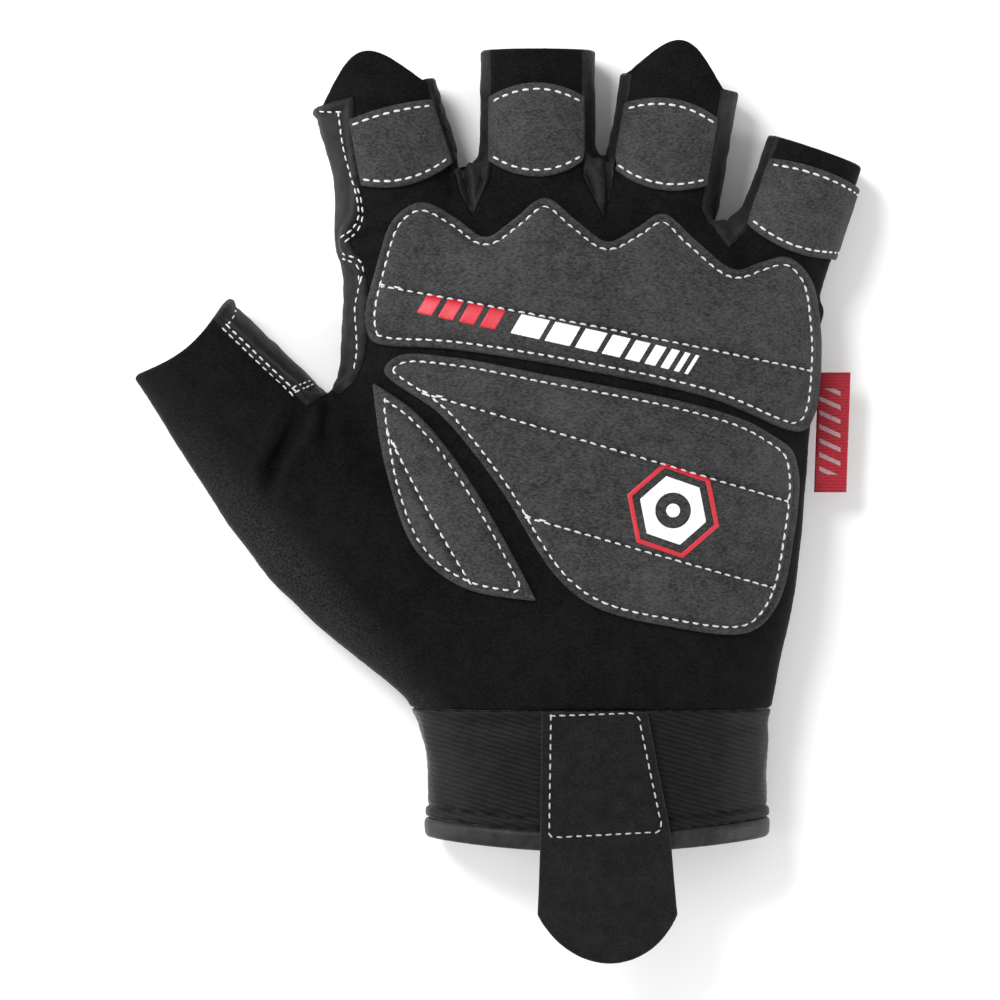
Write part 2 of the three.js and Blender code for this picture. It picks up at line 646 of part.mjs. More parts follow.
const cuffBand = () => shell.intersect(wristBand(SEAM_GAP / 2, CUFF_LENGTH - BINDING_HEIGHT - SEAM_GAP, 0, 1));
const cuffBinding = () =>
  layer(-CLOTH - BINDING_PROUD, BINDING_PROUD)
    .intersect(wristBand(CUFF_LENGTH - BINDING_HEIGHT, CUFF_LENGTH, 1, 1))
    .intersect(slab(0, FAR));

const glove = new THREE.Group();
const hand = new THREE.Group();
glove.add(hand);

/** Adds one named piece in its colour. */
function addPiece(name, solid, colour) {
  const material = new THREE.MeshStandardMaterial({ metalness: 0, ...COLOURS[colour] });
  const mesh = new THREE.Mesh(geometryOf(solid), material);
  mesh.name = name;
  hand.add(mesh);
}

addPiece("palm_panel", palmPanel(), "palm");
addPiece("back_panel", backPanel(), "back");
const sideNames = [...GUSSET_TIPS.map((tip) => tip.name), "index_side_strip", "thumb_side_strip"];
sideNames.forEach((name, i) => addPiece(name, sideWalls[i], "gusset"));
for (const row of PATCHES) addPiece("patch_" + row.finger, fingerPatch(row), "suede");
for (const row of PADS) addPiece(row.name, palmPad(row), "suede");
addPiece("cuff_band", cuffBand(), "elastic");
addPiece("cuff_binding", cuffBinding(), "binding");
addPiece("closure_tab", closureTab(), "felt");
addPiece("side_label", sideLabel(), "label");

// The part's origin is under the middle of the glove, on the surface that it lies on.
const box = new THREE.Box3().setFromObject(hand);
hand.position.set(-(box.min.x + box.max.x) / 2, -(box.min.y + box.max.y) / 2, -box.min.z);

export default glove;
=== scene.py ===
"""A left-hand weightlifting glove, lying on its back with the padded palm up.

The cloth is wrapped round a hand form, as a glove is sewn round a last: every piece is cut
from the form's skin by its pattern, lifted to its thickness and turned in at its seams.
Sizes are millimetres from the middle of the wrist seam, with X towards the little finger,
Y towards the fingertips and Z out of the palm.
"""

import logging
import math
from dataclasses import dataclass, field
from enum import Enum
from typing import Callable, Sequence

import bpy
import numpy as np
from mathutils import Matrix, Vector
from mathutils.bvhtree import BVHTree


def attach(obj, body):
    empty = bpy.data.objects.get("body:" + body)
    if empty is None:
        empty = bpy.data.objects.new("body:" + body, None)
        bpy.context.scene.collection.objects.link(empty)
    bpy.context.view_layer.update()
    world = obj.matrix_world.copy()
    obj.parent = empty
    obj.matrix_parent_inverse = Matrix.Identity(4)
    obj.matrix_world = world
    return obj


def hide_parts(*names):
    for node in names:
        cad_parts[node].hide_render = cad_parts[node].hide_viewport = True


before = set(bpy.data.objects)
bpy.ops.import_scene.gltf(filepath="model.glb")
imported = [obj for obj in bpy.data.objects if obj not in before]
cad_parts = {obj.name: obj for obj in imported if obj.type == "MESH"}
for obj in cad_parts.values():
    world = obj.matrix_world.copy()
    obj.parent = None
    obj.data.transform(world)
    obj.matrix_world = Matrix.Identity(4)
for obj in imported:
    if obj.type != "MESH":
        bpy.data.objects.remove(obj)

log = logging.getLogger("glove")

Array = np.ndarray
Region = Callable[[Array], Array]
Piece = bpy.types.Object
Material = bpy.types.Material
Socket = bpy.types.NodeSocket

MM = 0.001
# Deeper inside a pattern, or further outside it, than any place on the glove.
FAR = 400.0
# How many of the wave texture's units one of its bands takes.
WAVE_LENGTH = 6.3
# The middle of the wrist seam in the CAD frame, in millimetres.
WRIST_MIDDLE = (21.1, -45.9)
# How high the lowest outer and inner faces of the cloth stay above the floor.
FLOOR_GAP = 0.02
INNER_FLOOR_GAP = 0.2


class Ends(Enum):
    """How the open ends of the fingers are cut."""

    TABBED = "with the pull tabs"
    FLAT = "straight across"


class Bands(Enum):
    """Which way the ribs of a cloth run."""

    ACROSS = "Y"
    DIAGONAL = "DIAGONAL"


class Hold(Enum):
    """How a sheet of cloth is held on the glove."""

    LAID = "laid"
    FOLDED = "folded"
    STRETCHED = "stretched"


# Plan geometry.


def spline(points: Array, closed: bool, step: float = 0.8) -> Array:
    """Draw a smooth line through a few points.

    Args:
        points: the points, one a row.
        closed: whether the line joins its start.
        step: about how far apart the new points lie.

    Returns:
        The points of the line, evenly spread.
    """
    pts = np.asarray(points, float)
    if closed:
        ring = np.vstack([pts[-1], pts, pts[0], pts[1]])
    else:
        ring = np.vstack([2 * pts[0] - pts[1], pts, 2 * pts[-1] - pts[-2]])
    out = []
    for i in range(1, len(ring) - 2):
        p0, p1, p2, p3 = ring[i - 1 : i + 3]
        spans = (max(1e-6, np.linalg.norm(b - a)) ** 0.5 for a, b in ((p0, p1), (p1, p2), (p2, p3)))
        knots = np.cumsum([0.0, *spans])
        t = np.linspace(knots[1], knots[2], 12, endpoint=False)[:, None]
        t0, t1, t2, t3 = knots
        a1 = (t1 - t) / (t1 - t0) * p0 + (t - t0) / (t1 - t0) * p1
        a2 = (t2 - t) / (t2 - t1) * p1 + (t - t1) / (t2 - t1) * p2
        a3 = (t3 - t) / (t3 - t2) * p2 + (t - t2) / (t3 - t2) * p3
        b1 = (t2 - t) / (t2 - t0) * a1 + (t - t0) / (t2 - t0) * a2
        b2 = (t3 - t) / (t3 - t1) * a2 + (t - t1) / (t3 - t1) * a3
        out.append((t2 - t) / (t2 - t1) * b1 + (t - t1) / (t2 - t1) * b2)
    line = np.vstack(out + [pts[:1] if closed else pts[-1:]])
    return even(line, step)[:-1] if closed else even(line, step)


def even(line: Array, step: float) -> Array:
    """Spread points evenly along a line, ends kept."""
    gaps = np.linalg.norm(np.diff(line, axis=0), axis=1)
    along = np.concatenate([[0.0], np.cumsum(gaps)])
    places = np.linspace(0, along[-1], max(2, round(along[-1] / step) + 1))
    return np.stack([np.interp(places, along, line[:, k]) for k in range(line.shape[1])], axis=1)


def to_line(points: Array, line: Array) -> tuple[Array, Array]:
    """Measure points against an open line.

    Returns:
        Each point's distance from the line, and how far along it the nearest place is, 0 to 1.
    """
    gaps = np.linalg.norm(np.diff(line, axis=0), axis=1)
    along = np.concatenate([[0.0], np.cumsum(gaps)])
    best = np.full(len(points), 1e12)
    share = np.zeros(len(points))
    for i, (a, b) in enumerate(zip(line[:-1], line[1:])):
        ab = b - a
        t = np.clip(((points - a) @ ab) / (ab @ ab), 0, 1)
        gap = points - a - t[:, None] * ab
        d = (gap * gap).sum(1)
        nearer = d < best
        best[nearer] = d[nearer]
        share[nearer] = (along[i] + t[nearer] * gaps[i]) / along[-1]
    return np.sqrt(best), share


def inside(points: Array, outline: Array, reach: float = 8.0) -> Array:
    """Measure how deep points lie inside a closed outline.

    Returns:
        The distance from the outline: positive inside it, and -reach or less well outside it.
    """
    out = np.full(len(points), -reach)
    low, high = outline.min(0) - reach, outline.max(0) + reach
    near = np.all((points > low) & (points < high), axis=1)
    p = points[near]
    best = np.full(len(p), 1e12)
    within = np.zeros(len(p), bool)
    for a, b in zip(outline, np.roll(outline, -1, axis=0)):
        ab = b - a
        t = np.clip(((p - a) @ ab) / max(ab @ ab, 1e-12), 0, 1)
        gap = p - a - t[:, None] * ab
        best = np.minimum(best, (gap * gap).sum(1))
        if a[1] != b[1]:
            spanned = (a[1] > p[:, 1]) != (b[1] > p[:, 1])
            within ^= spanned & (p[:, 0] < ab[0] * (p[:, 1] - a[1]) / ab[1] + a[0])
    out[near] = np.where(within, 1, -1) * np.sqrt(best)
    return out


def inset(outline: Array, inward: float) -> Array:
    """Move a closed outline inwards, without the corners that close up on the way."""
    before, after = np.roll(outline, 1, axis=0), np.roll(outline, -1, axis=0)
    along = after - before
    along /= np.linalg.norm(along, axis=1)[:, None]
    area = np.sum(outline[:, 0] * after[:, 1] - after[:, 0] * outline[:, 1])
    moved = outline + math.copysign(inward, area) * np.stack([-along[:, 1], along[:, 0]], axis=1)
    return moved[inside(moved, outline) > 0.985 * inward]


# Surfaces.


@dataclass
class Surface:
    """A piece of skin: places, outward directions and triangles."""

    at: Array
    up: Array
    tris: Array

    def _edges(self) -> tuple[Array, Array]:
        """Give each triangle's edges one number each, alike for both sides."""
        t = self.tris
        ends = np.stack([t, np.roll(t, -1, axis=1)], axis=2)
        ends.sort(axis=2)
        return ends[..., 0].astype(np.int64) * len(self.at) + ends[..., 1], ends

    def refined(self, near: Array) -> "Surface":
        """Split the triangles that have a marked corner in four, and their neighbours to match.

        Args:
            near: a mark for each place.

        Returns:
            The finer surface.
        """
        t = self.tris
        codes, _ = self._edges()
        marked = np.unique(codes[near[t].any(axis=1)])
        cut = np.isin(codes, marked)
        a, b = marked // len(self.at), marked % len(self.at)
        up = self.up[a] + self.up[b]
        up /= np.linalg.norm(up, axis=1)[:, None]
        mid = np.searchsorted(marked, codes) + len(self.at)
        count = cut.sum(1)
        whole = count == 3
        t3, m3 = t[whole], mid[whole]
        out = [t[count == 0]]
        for corners in (
            (t3[:, 0], m3[:, 0], m3[:, 2]),
            (m3[:, 0], t3[:, 1], m3[:, 1]),
            (m3[:, 2], m3[:, 1], t3[:, 2]),
            (m3[:, 0], m3[:, 1], m3[:, 2]),
        ):
            out.append(np.stack(corners, axis=1))
        for r in range(3):
            s, q = (r + 1) % 3, (r + 2) % 3
            one = (count == 1) & cut[:, r]
            out.append(np.stack([t[one, r], mid[one, r], t[one, q]], axis=1))
            out.append(np.stack([mid[one, r], t[one, s], t[one, q]], axis=1))
            two = (count == 2) & ~cut[:, r]
            out.append(np.stack([t[two, r], t[two, s], mid[two, s]], axis=1))
            out.append(np.stack([t[two, r], mid[two, s], mid[two, q]], axis=1))
            out.append(np.stack([mid[two, q], mid[two, s], t[two, q]], axis=1))
        at = np.vstack([self.at, (self.at[a] + self.at[b]) / 2])
        return Surface(at, np.vstack([self.up, up]), np.vstack(out))

    def tidy(self) -> "Surface":
        """Drop the places that no triangle uses."""
        used, back = np.unique(self.tris, return_inverse=True)
        return Surface(self.at[used], self.up[used], back.reshape(-1, 3))

    def clipped(self, depth: Array) -> "Surface":
        """Keep what lies inside a pattern.

        Args:
            depth: how deep each place lies inside the pattern.

        Returns:
            The surface, cut where the depth is nought.
        """
        depth = np.where(np.abs(depth) < 0.03, 0.0, depth)
        t = self.tris
        kept = depth >= 0
        codes, ends = self._edges()
        crossing = kept[ends[..., 0]] != kept[ends[..., 1]]
        marked = np.unique(codes[crossing])
        a, b = marked // len(self.at), marked % len(self.at)
        share = (depth[a] / (depth[a] - depth[b]))[:, None]
        up = self.up[a] * (1 - share) + self.up[b] * share
        up /= np.linalg.norm(up, axis=1)[:, None]
        place = np.arange(len(marked)) + len(self.at)
        place = np.where(depth[a] == 0, a, np.where(depth[b] == 0, b, place))
        mid = place[np.minimum(np.searchsorted(marked, codes), len(marked) - 1)] if len(marked) else codes
        count = kept[t].sum(1)
        out = [t[count == 3]]
        for r in range(3):
            s, q = (r + 1) % 3, (r + 2) % 3
            one = (count == 1) & kept[t[:, r]]
            out.append(np.stack([t[one, r], mid[one, r], mid[one, q]], axis=1))
            two = (count == 2) & ~kept[t[:, r]]
            out.append(np.stack([t[two, s], t[two, q], mid[two, q]], axis=1))
            out.append(np.stack([t[two, s], mid[two, q], mid[two, r]], axis=1))
        tris = np.vstack(out)
        sound = (tris[:, 0] != tris[:, 1]) & (tris[:, 1] != tris[:, 2]) & (tris[:, 2] != tris[:, 0])
        at = np.vstack([self.at, self.at[a] * (1 - share) + self.at[b] * share])
        return Surface(at, np.vstack([self.up, up]), tris[sound]).tidy()

    def cut(self, region: Region, bands: Sequence[float]) -> tuple["Surface", Array]:
        """Cut a pattern piece out, finer towards its edges.

        Args:
            region: gives how deep places lie inside the pattern.
            bands: how near the edge each halving of the triangles starts.

        Returns:
            The piece, and how deep each of its places lies inside its edge.
        """
        depth = region(self.at)
        skin = Surface(self.at, self.up, self.tris[(depth[self.tris] > -2.0).any(axis=1)]).tidy()
        for band in bands:
            skin = skin.refined(np.abs(region(skin.at)) < band)
        piece = skin.clipped(region(skin.at))
        return piece, np.maximum(region(piece.at), 0)

    def walls(self) -> Array:
        """Find the edges that only one triangle uses, in that triangle's direction."""
        t = self.tris.astype(np.int64)
        pairs = np.vstack([t[:, [0, 1]], t[:, [1, 2]], t[:, [2, 0]]])
        codes = pairs[:, 0] * len(self.at) + pairs[:, 1]
        back = pairs[:, 1] * len(self.at) + pairs[:, 0]
        return pairs[~np.isin(codes, back)]


def make_object(name: str, at: Array, faces: list, sharp: float = 50.0) -> Piece:
    """Make a mesh object from places in millimetres from the wrist seam.

    Args:
        name: the object's name.
        at: the places.
        faces: corner numbers of each face.
        sharp: faces that meet at more degrees than this keep a crisp edge.

    Returns:
        The object, at the origin.
    """
    mesh = bpy.data.meshes.new(name)
    moved = (at + np.array([*WRIST_MIDDLE, 0.0])) * MM
    mesh.from_pydata(moved.tolist(), [], faces)
    mesh.update()
    mesh.polygons.foreach_set("use_smooth", np.ones(len(mesh.polygons), bool))
    mesh.set_sharp_from_angle(angle=math.radians(sharp))
    obj = bpy.data.objects.new(name, mesh)
    bpy.context.collection.objects.link(obj)
    return obj


def closed_sheet(name: str, skin: Surface, outer: Array, inner: Array) -> Piece:
    """Give a piece of skin its thickness and close it round its edges.

    Args:
        name: the object's name.
        skin: the piece.
        outer: how far the outer face lies above the skin, at each place.
        inner: how far the inner face lies above the skin.

    Returns:
        The object.
    """
    count = len(skin.at)
    at = np.vstack([skin.at + skin.up * outer[:, None], skin.at + skin.up * inner[:, None]])
    at[:count, 2] = np.maximum(at[:count, 2], FLOOR_GAP)
    at[count:, 2] = np.maximum(at[count:, 2], INNER_FLOOR_GAP)
    edge = skin.walls()
    walls = np.stack([edge[:, 1], edge[:, 0], edge[:, 0] + count, edge[:, 1] + count], axis=1)
    faces = skin.tris.tolist() + (skin.tris[:, ::-1] + count).tolist() + walls.tolist()
    return make_object(name, at, faces)


# The hand form.


@dataclass(frozen=True)
class Finger:
    """One finger of the form, in millimetres and degrees."""

    name: str
    root: tuple[float, float]
    lean: float
    root_width: float
    rim_width: float
    reach: float
    tab: float
    tab_shift: float
    left: float
    right: float

    def place(self, p: Array | float, q: Array | float) -> Array:
        """Turn places across and along the finger into plan."""
        c, s = math.cos(math.radians(self.lean)), math.sin(math.radians(self.lean))
        x = self.root[0] + np.asarray(p) * c + np.asarray(q) * s
        y = self.root[1] - np.asarray(p) * s + np.asarray(q) * c
        return np.stack([x, y], axis=-1)

    def local(self, xy: Array) -> tuple[Array, Array]:
        """Turn plan places into places across and along the finger."""
        c, s = math.cos(math.radians(self.lean)), math.sin(math.radians(self.lean))
        dx, dy = xy[:, 0] - self.root[0], xy[:, 1] - self.root[1]
        return dx * c - dy * s, dx * s + dy * c

    def half(self, q: Array | float) -> Array:
        """Half of the finger's width at a place along it."""
        share = np.clip(np.asarray(q) / self.reach, 0, 1)
        return (self.root_width * (1 - share) + self.rim_width * share) / 2

    def seam(self, side: int, q: Array | float) -> Array:
        """Where the finger's side seam runs across it: side is -1 or 1."""
        return side * (self.half(q) - (self.left if side < 0 else self.right))


@dataclass
class HandForm:
    """The form that the glove is wrapped on."""

    palm_width: float = 105.0
    palm_length: float = 119.5
    palm_rise: float = 18.5
    drop: float = 8.5
    finger_rise: float = 10.5
    thumb_width: float = 30.0
    thumb_rim: float = 27.3
    thumb_seam: float = 5.6
    thumb_reach: float = 98.0
    thumb_rise: float = 13.0
    thumb_lean: float = -39.8
    thumb_root: tuple[float, float] = (-0.373, -0.02)
    voxel: float = 0.95
    smoothing: float = 0.5
    smooth_turns: int = 14
    # How boxy a section is: 2 is an ellipse.
    palm_boxiness: float = 2.5
    limb_boxiness: float = 2.1
    above_seam: float = 0.6
    # Rows of the palm: place along it, left and right edge, rise.
    palm_rows: tuple = (
        (-0.5, -0.15, 0.18, 0.62),
        (-0.36, -0.26, 0.27, 0.86),
        (-0.26, -0.353, 0.36, 1.08),
        (-0.08, -0.352, 0.362, 1.13),
        (0.0, -0.39, 0.37, 1.13),
        (0.1, -0.42, 0.394, 1.12),
        (0.2, -0.45, 0.42, 1.1),
        (0.33, -0.49, 0.438, 1.06),
        (0.46, -0.515, 0.448, 1.0),
        (0.57, -0.53, 0.46, 0.96),
        (0.7, -0.528, 0.474, 0.9),
    )
    # Rows that turn into the knuckles' curve: share of the turn, rise.
    knuckle_rows: tuple = ((0.0, 0.9), (0.4, 0.8), (0.75, 0.64), (1.0, 0.42))
    knuckle_edges: tuple[float, float] = (-0.53, 0.488)
    # The knuckles' curve: share across the hand, place along it.
    knuckle_curve: tuple = ((0.0, 0.84), (0.255, 0.99), (0.53, 1.02), (0.8, 0.885), (1.0, 0.74))
    # Rows of the thumb: place along it, left and right edge, rise.
    thumb_rows: tuple = (
        (-0.06, 0.1, 0.9, 1.2),
        (0.1, 0.0, 1.14, 1.34),
        (0.27, -0.12, 1.22, 1.36),
        (0.45, -0.19, 1.2, 1.28),
        (0.62, -0.16, 1.1, 1.16),
        (0.8, -0.09, 0.99, 1.06),
        (1.0, 0.0, 0.91, 0.96),
        (1.12, 0.02, 0.9, 0.94),
    )
    # Rows of a finger: place along it, width share before the root, rise.
    finger_rows: tuple = (
        (-0.85, 0.9, 0.9),
        (-0.35, 1.0, 1.08),
        (0.1, 1.0, 1.1),
        (0.55, 1.0, 1.05),
        (1.0, 1.0, 1.0),
        (1.5, 1.0, 0.97),
    )
    # Places where the cloth stands off the form: place, move in millimetres, reach.
    nudges: tuple = (
        (-0.559, 0.987, 1.4, 0.0, 8.0),
        (-0.53, 0.85, -1.3, 0.0, 5.0),
        (-0.532, 0.572, -2.2, 0.2, 5.5),
        (-0.53, 0.66, -0.7, 0.0, 10.0),
        (-0.258, 0.979, -1.8, 2.6, 4.0),
        (0.02, 0.985, 0.6, 0.8, 4.0),
        (0.297, 0.871, -1.4, 3.2, 4.5),
    )
    fingers: dict[str, Finger] = field(default_factory=dict)
    skin: Surface | None = None

    def __post_init__(self) -> None:
        """Set out the fingers."""
        # Name, root in shares of the palm, lean, root and rim width, reach, tab and its shift, side insets.
        rows = (
            ("index", -0.393, 0.888, -14.3, 31.5, 27.8, 30.6, 9.0, -0.2, 6.3, 2.4),
            ("middle", -0.121, 0.948, 0.0, 26.0, 25.5, 31.8, 0.0, 0.0, 2.4, 2.9),
            ("ring", 0.129, 0.902, 9.7, 26.8, 26.5, 30.6, 8.9, -1.2, 2.3, 4.0),
            ("little", 0.384, 0.825, 18.9, 22.6, 22.1, 25.8, 0.0, 0.0, 2.2, 0.0),
        )
        for name, across, along, *sizes in rows:
            self.fingers[name] = Finger(name, self.plan(across, along), *sizes)

    def plan(self, across: float, along: float) -> tuple[float, float]:
        """Turn shares of the palm's width and length into a place in plan."""
        return across * self.palm_width, along * self.palm_length

    def outline(self, shares: Sequence[Sequence[float]], closed: bool = True, step: float = 0.8) -> Array:
        """Draw a smooth line through places given as shares of the palm."""
        return spline(np.array([self.plan(*pair) for pair in shares]), closed, step)

    def upper(self, outline: Array) -> Region:
        """How deep places lie inside a plan outline, on the upper half of the form."""
        return lambda at: np.minimum(inside(at[:, :2], outline, 6.0), at[:, 2] - self.drop - self.above_seam)

    def thumb(self) -> Finger:
        """The thumb's axes, as a finger."""
        root = self.plan(*self.thumb_root)
        widths = (self.thumb_width, self.thumb_rim)
        return Finger("thumb", root, self.thumb_lean, *widths, self.thumb_reach, 0, 0, 0, self.thumb_seam)

    def _ring(self, half: float, rise: float, boxiness: float) -> tuple[Array, Array]:
        """One section: x across it and z above the side seams, right round."""
        turn = np.linspace(0, math.pi, 49)
        x = -np.cos(turn) * half
        z = rise * np.maximum(0, 1 - np.abs(np.cos(turn)) ** boxiness) ** (1 / boxiness)
        arc = np.radians(np.linspace(0, 90, 9))[1:]
        edge = half - self.drop
        right = np.stack([edge + self.drop * np.cos(arc), -self.drop * np.sin(arc)], axis=1)
        flat = np.stack([np.linspace(edge, -edge, 16)[1:-1], np.full(14, -self.drop)], axis=1)
        left = (right[::-1] * [-1, 1])[:-1]
        low = np.vstack([right, flat, left])
        return np.concatenate([x, low[:, 0]]), np.concatenate([z, low[:, 1]])

    def _tube(self, rings: list[Array]) -> tuple[list, list]:
        """Join rings of places into a closed tube."""
        size = len(rings[0])
        at = np.vstack(rings + [rings[0].mean(0)[None], rings[-1].mean(0)[None]])
        faces = []
        for k in range(len(rings) - 1):
            for i in range(size):
                j = (i + 1) % size
                faces.append((k * size + i, k * size + j, (k + 1) * size + j, (k + 1) * size + i))
        last = (len(rings) - 1) * size
        start, end = len(at) - 2, len(at) - 1
        for i in range(size):
            j = (i + 1) % size
            faces.append((start, j, i))
            faces.append((end, last + i, last + j))
        return at.tolist(), faces

    def _rows(self, rows: Sequence[Sequence[float]], places: Array) -> Array:
        """Read a table's columns at places between its rows, without kinks."""
        table = np.array(rows, float)
        fine = np.linspace(table[0, 0], table[-1, 0], 241)
        columns = []
        for k in range(1, table.shape[1]):
            line = np.interp(fine, table[:, 0], table[:, k])
            padded = np.concatenate([2 * line[0] - line[12:0:-1], line, 2 * line[-1] - line[-2:-14:-1]])
            kernel = np.hanning(27)[1:-1]
            smooth = np.convolve(padded, kernel / kernel.sum(), mode="valid")
            columns.append(np.interp(places, fine, smooth))
        return np.stack(columns, axis=1)

    def _palm(self) -> tuple[list, list]:
        """The palm and wrist of the form."""
        straight = np.linspace(self.palm_rows[0][0], self.palm_rows[-1][0], 72)
        table = self._rows(self.palm_rows, straight)
        stations = [(along, 0.0, *row) for along, row in zip(straight, table)]
        turns = np.linspace(0, 1, 16)[1:]
        rises = np.interp(turns, *np.array(self.knuckle_rows).T)
        for turn, rise in zip(turns, rises):
            left = table[-1][0] * (1 - turn) + self.knuckle_edges[0] * turn
            right = table[-1][1] * (1 - turn) + self.knuckle_edges[1] * turn
            stations.append((straight[-1], turn, left, right, rise))
        across, along_curve = np.array(self.knuckle_curve).T
        rings = []
        for along, turn, left, right, rise in stations:
            half = (right - left) / 2 * self.palm_width
            x, z = self._ring(half, rise * self.palm_rise, self.palm_boxiness)
            share = (x + half) / (2 * half)
            curve = np.interp(share, across, along_curve)
            y = (along * (1 - turn) + curve * turn) * self.palm_length
            rings.append(np.stack([x + (left + right) / 2 * self.palm_width, y, z + self.drop], axis=1))
        return self._tube(rings)

    def _limb(self, axes: Finger, stations: Sequence[Sequence[float]]) -> tuple[list, list]:
        """A finger or the thumb, from stations of place, left edge, right edge and rise."""
        rings = []
        for q, left, right, rise in stations:
            x, z = self._ring((right - left) / 2, rise, self.limb_boxiness)
            xy = axes.place(x + (left + right) / 2, np.full(len(x), q))
            rings.append(np.column_stack([xy, z + self.drop]))
        return self._tube(rings)

    def build(self) -> None:
        """Join the palm, fingers and thumb and make their common skin even and smooth."""
        parts = [self._palm()]
        for finger in self.fingers.values():
            shares = np.linspace(self.finger_rows[0][0], self.finger_rows[-1][0], 40)
            table = self._rows(self.finger_rows, shares)
            stations = []
            for share, (width, rise) in zip(shares, table):
                half = float(finger.half(share * finger.reach)) * (min(1.0, width) if share < 0 else 1)
                stations.append((share * finger.reach, -half, half, rise * self.finger_rise))
            parts.append(self._limb(finger, stations))
        shares = np.linspace(self.thumb_rows[0][0], self.thumb_rows[-1][0], 60)
        table = self._rows(self.thumb_rows, shares) * [self.thumb_width, self.thumb_width, self.thumb_rise]
        stations = [(share * self.thumb_reach, *row) for share, row in zip(shares, table)]
        parts.append(self._limb(self.thumb(), stations))
        at, faces = [], []
        for places, corners in parts:
            shift = len(at)
            at += places
            faces += [tuple(i + shift for i in face) for face in corners]
        mesh = bpy.data.meshes.new("form")
        mesh.from_pydata(at, [], faces)
        form = bpy.data.objects.new("form", mesh)
        bpy.context.collection.objects.link(form)
        remesh = form.modifiers.new("even", "REMESH")
        remesh.mode = "VOXEL"
        remesh.voxel_size = self.voxel
        smooth = form.modifiers.new("smooth", "SMOOTH")
        smooth.factor = self.smoothing
        smooth.iterations = self.smooth_turns
        bpy.context.view_layer.update()
        ready = form.evaluated_get(bpy.context.evaluated_depsgraph_get()).to_mesh()
        ready.calc_loop_triangles()
        places = np.empty(len(ready.vertices) * 3, np.float32)
        ups = np.empty(len(ready.vertices) * 3, np.float32)
        corners = np.empty(len(ready.loop_triangles) * 3, np.int32)
        ready.vertices.foreach_get("co", places)
        ready.vertices.foreach_get("normal", ups)
        ready.loop_triangles.foreach_get("vertices", corners)
        at = places.reshape(-1, 3).astype(float)
        moved = at.copy()
        for across, along, dx, dy, reach in self.nudges:
            gap = at[:, :2] - self.plan(across, along)
            weight = np.exp(-(gap * gap).sum(1) / reach**2)
            moved[:, 0] += dx * weight
            moved[:, 1] += dy * weight
        self.skin = Surface(moved, ups.reshape(-1, 3).astype(float), corners.reshape(-1, 3))
        bpy.data.objects.remove(form)
        log.info("form: %d places", len(self.skin.at))


@dataclass
class Studio:
    """The floor, the lights and the camera."""

    # The view's width at a height above the floor, and the camera's height, in millimetres.
    view: float = 220.0
    plane: float = 15.0
    height: float = 1500.0
    sensor: float = 36.0
    floor: float = 3.0
    sky: float = 0.6
    # The lamps: name, place and size in metres, power in watts.
    lamps: tuple = (
        ("key", (-0.41, 0.48, 0.73), 0.42, 7.9),
        ("left", (-1.25, 0.05, 0.34), 0.6, 12.5),
        ("right", (1.2, -0.3, 0.3), 0.7, 12.0),
        ("low", (0.1, -1.2, 0.6), 0.7, 3.0),
    )

    def build(self) -> None:
        """Set up a pale floor, soft lights and a camera straight above the palm."""
        mesh = bpy.data.meshes.new("floor")
        size = self.floor
        corners = [(-size, -size, 0), (size, -size, 0), (size, size, 0), (-size, size, 0)]
        mesh.from_pydata(corners, [], [(0, 1, 2, 3)])
        floor = bpy.data.objects.new("floor", mesh)
        bpy.context.collection.objects.link(floor)
        paper = bpy.data.materials.new("paper")
        paper.use_nodes = True
        shader = paper.node_tree.nodes["Principled BSDF"]
        shader.inputs["Base Color"].default_value = (0.98, 0.98, 0.98, 1)
        shader.inputs["Roughness"].default_value = 0.9
        mesh.materials.append(paper)
        world = bpy.data.worlds.new("studio")
        world.use_nodes = True
        world.node_tree.nodes["Background"].inputs["Color"].default_value = (1, 1, 1, 1)
        world.node_tree.nodes["Background"].inputs["Strength"].default_value = self.sky
        bpy.context.scene.world = world
        bpy.context.scene.view_settings.view_transform = "Standard"
        for name, place, size, power in self.lamps:
            light = bpy.data.lights.new(name, "AREA")
            light.shape = "DISK"
            light.size = size
            light.energy = power
            lamp = bpy.data.objects.new(name, light)
            lamp.location = place
            lamp.rotation_euler = (-Vector(place)).to_track_quat("-Z", "Y").to_euler()
            bpy.context.collection.objects.link(lamp)
        lens = bpy.data.cameras.new("camera")
        lens.sensor_width = self.sensor
        lens.lens = self.sensor * (self.height - self.plane) / self.view
        lens.clip_start = 0.05
        lens.clip_end = 20
        camera = bpy.data.objects.new("camera", lens)
        camera.location = (0.0001, 0, self.height * MM)
        bpy.context.collection.objects.link(camera)
        bpy.context.scene.camera = camera


# Finishes.


def put(tree: bpy.types.NodeTree, socket: Socket, value: object) -> None:
    """Set a socket to a value, or link it to another socket."""
    if isinstance(value, Socket):
        tree.links.new(value, socket)
    else:
        socket.default_value = value


def add_node(tree: bpy.types.NodeTree, kind: str, settings: dict | None, inputs: dict) -> bpy.types.Node:
    """Add a node to a tree.

    Args:
        tree: the tree.
        kind: the node's type.
        settings: its properties.
        inputs: its sockets' values or links, named with underscores for spaces.

    Returns:
        The node.
    """
    made = tree.nodes.new(kind)
    for key, value in (settings or {}).items():
        setattr(made, key, value)
    for key, value in inputs.items():
        put(tree, made.inputs[key.replace("_", " ")], value)
    return made


def arithmetic(tree: bpy.types.NodeTree, what: str, values: Sequence[object]) -> Socket:
    """Add one step of arithmetic to a tree."""
    made = tree.nodes.new("ShaderNodeMath")
    made.operation = what
    for socket, value in zip(made.inputs, values):
        put(tree, socket, value)
    return made.outputs[0]


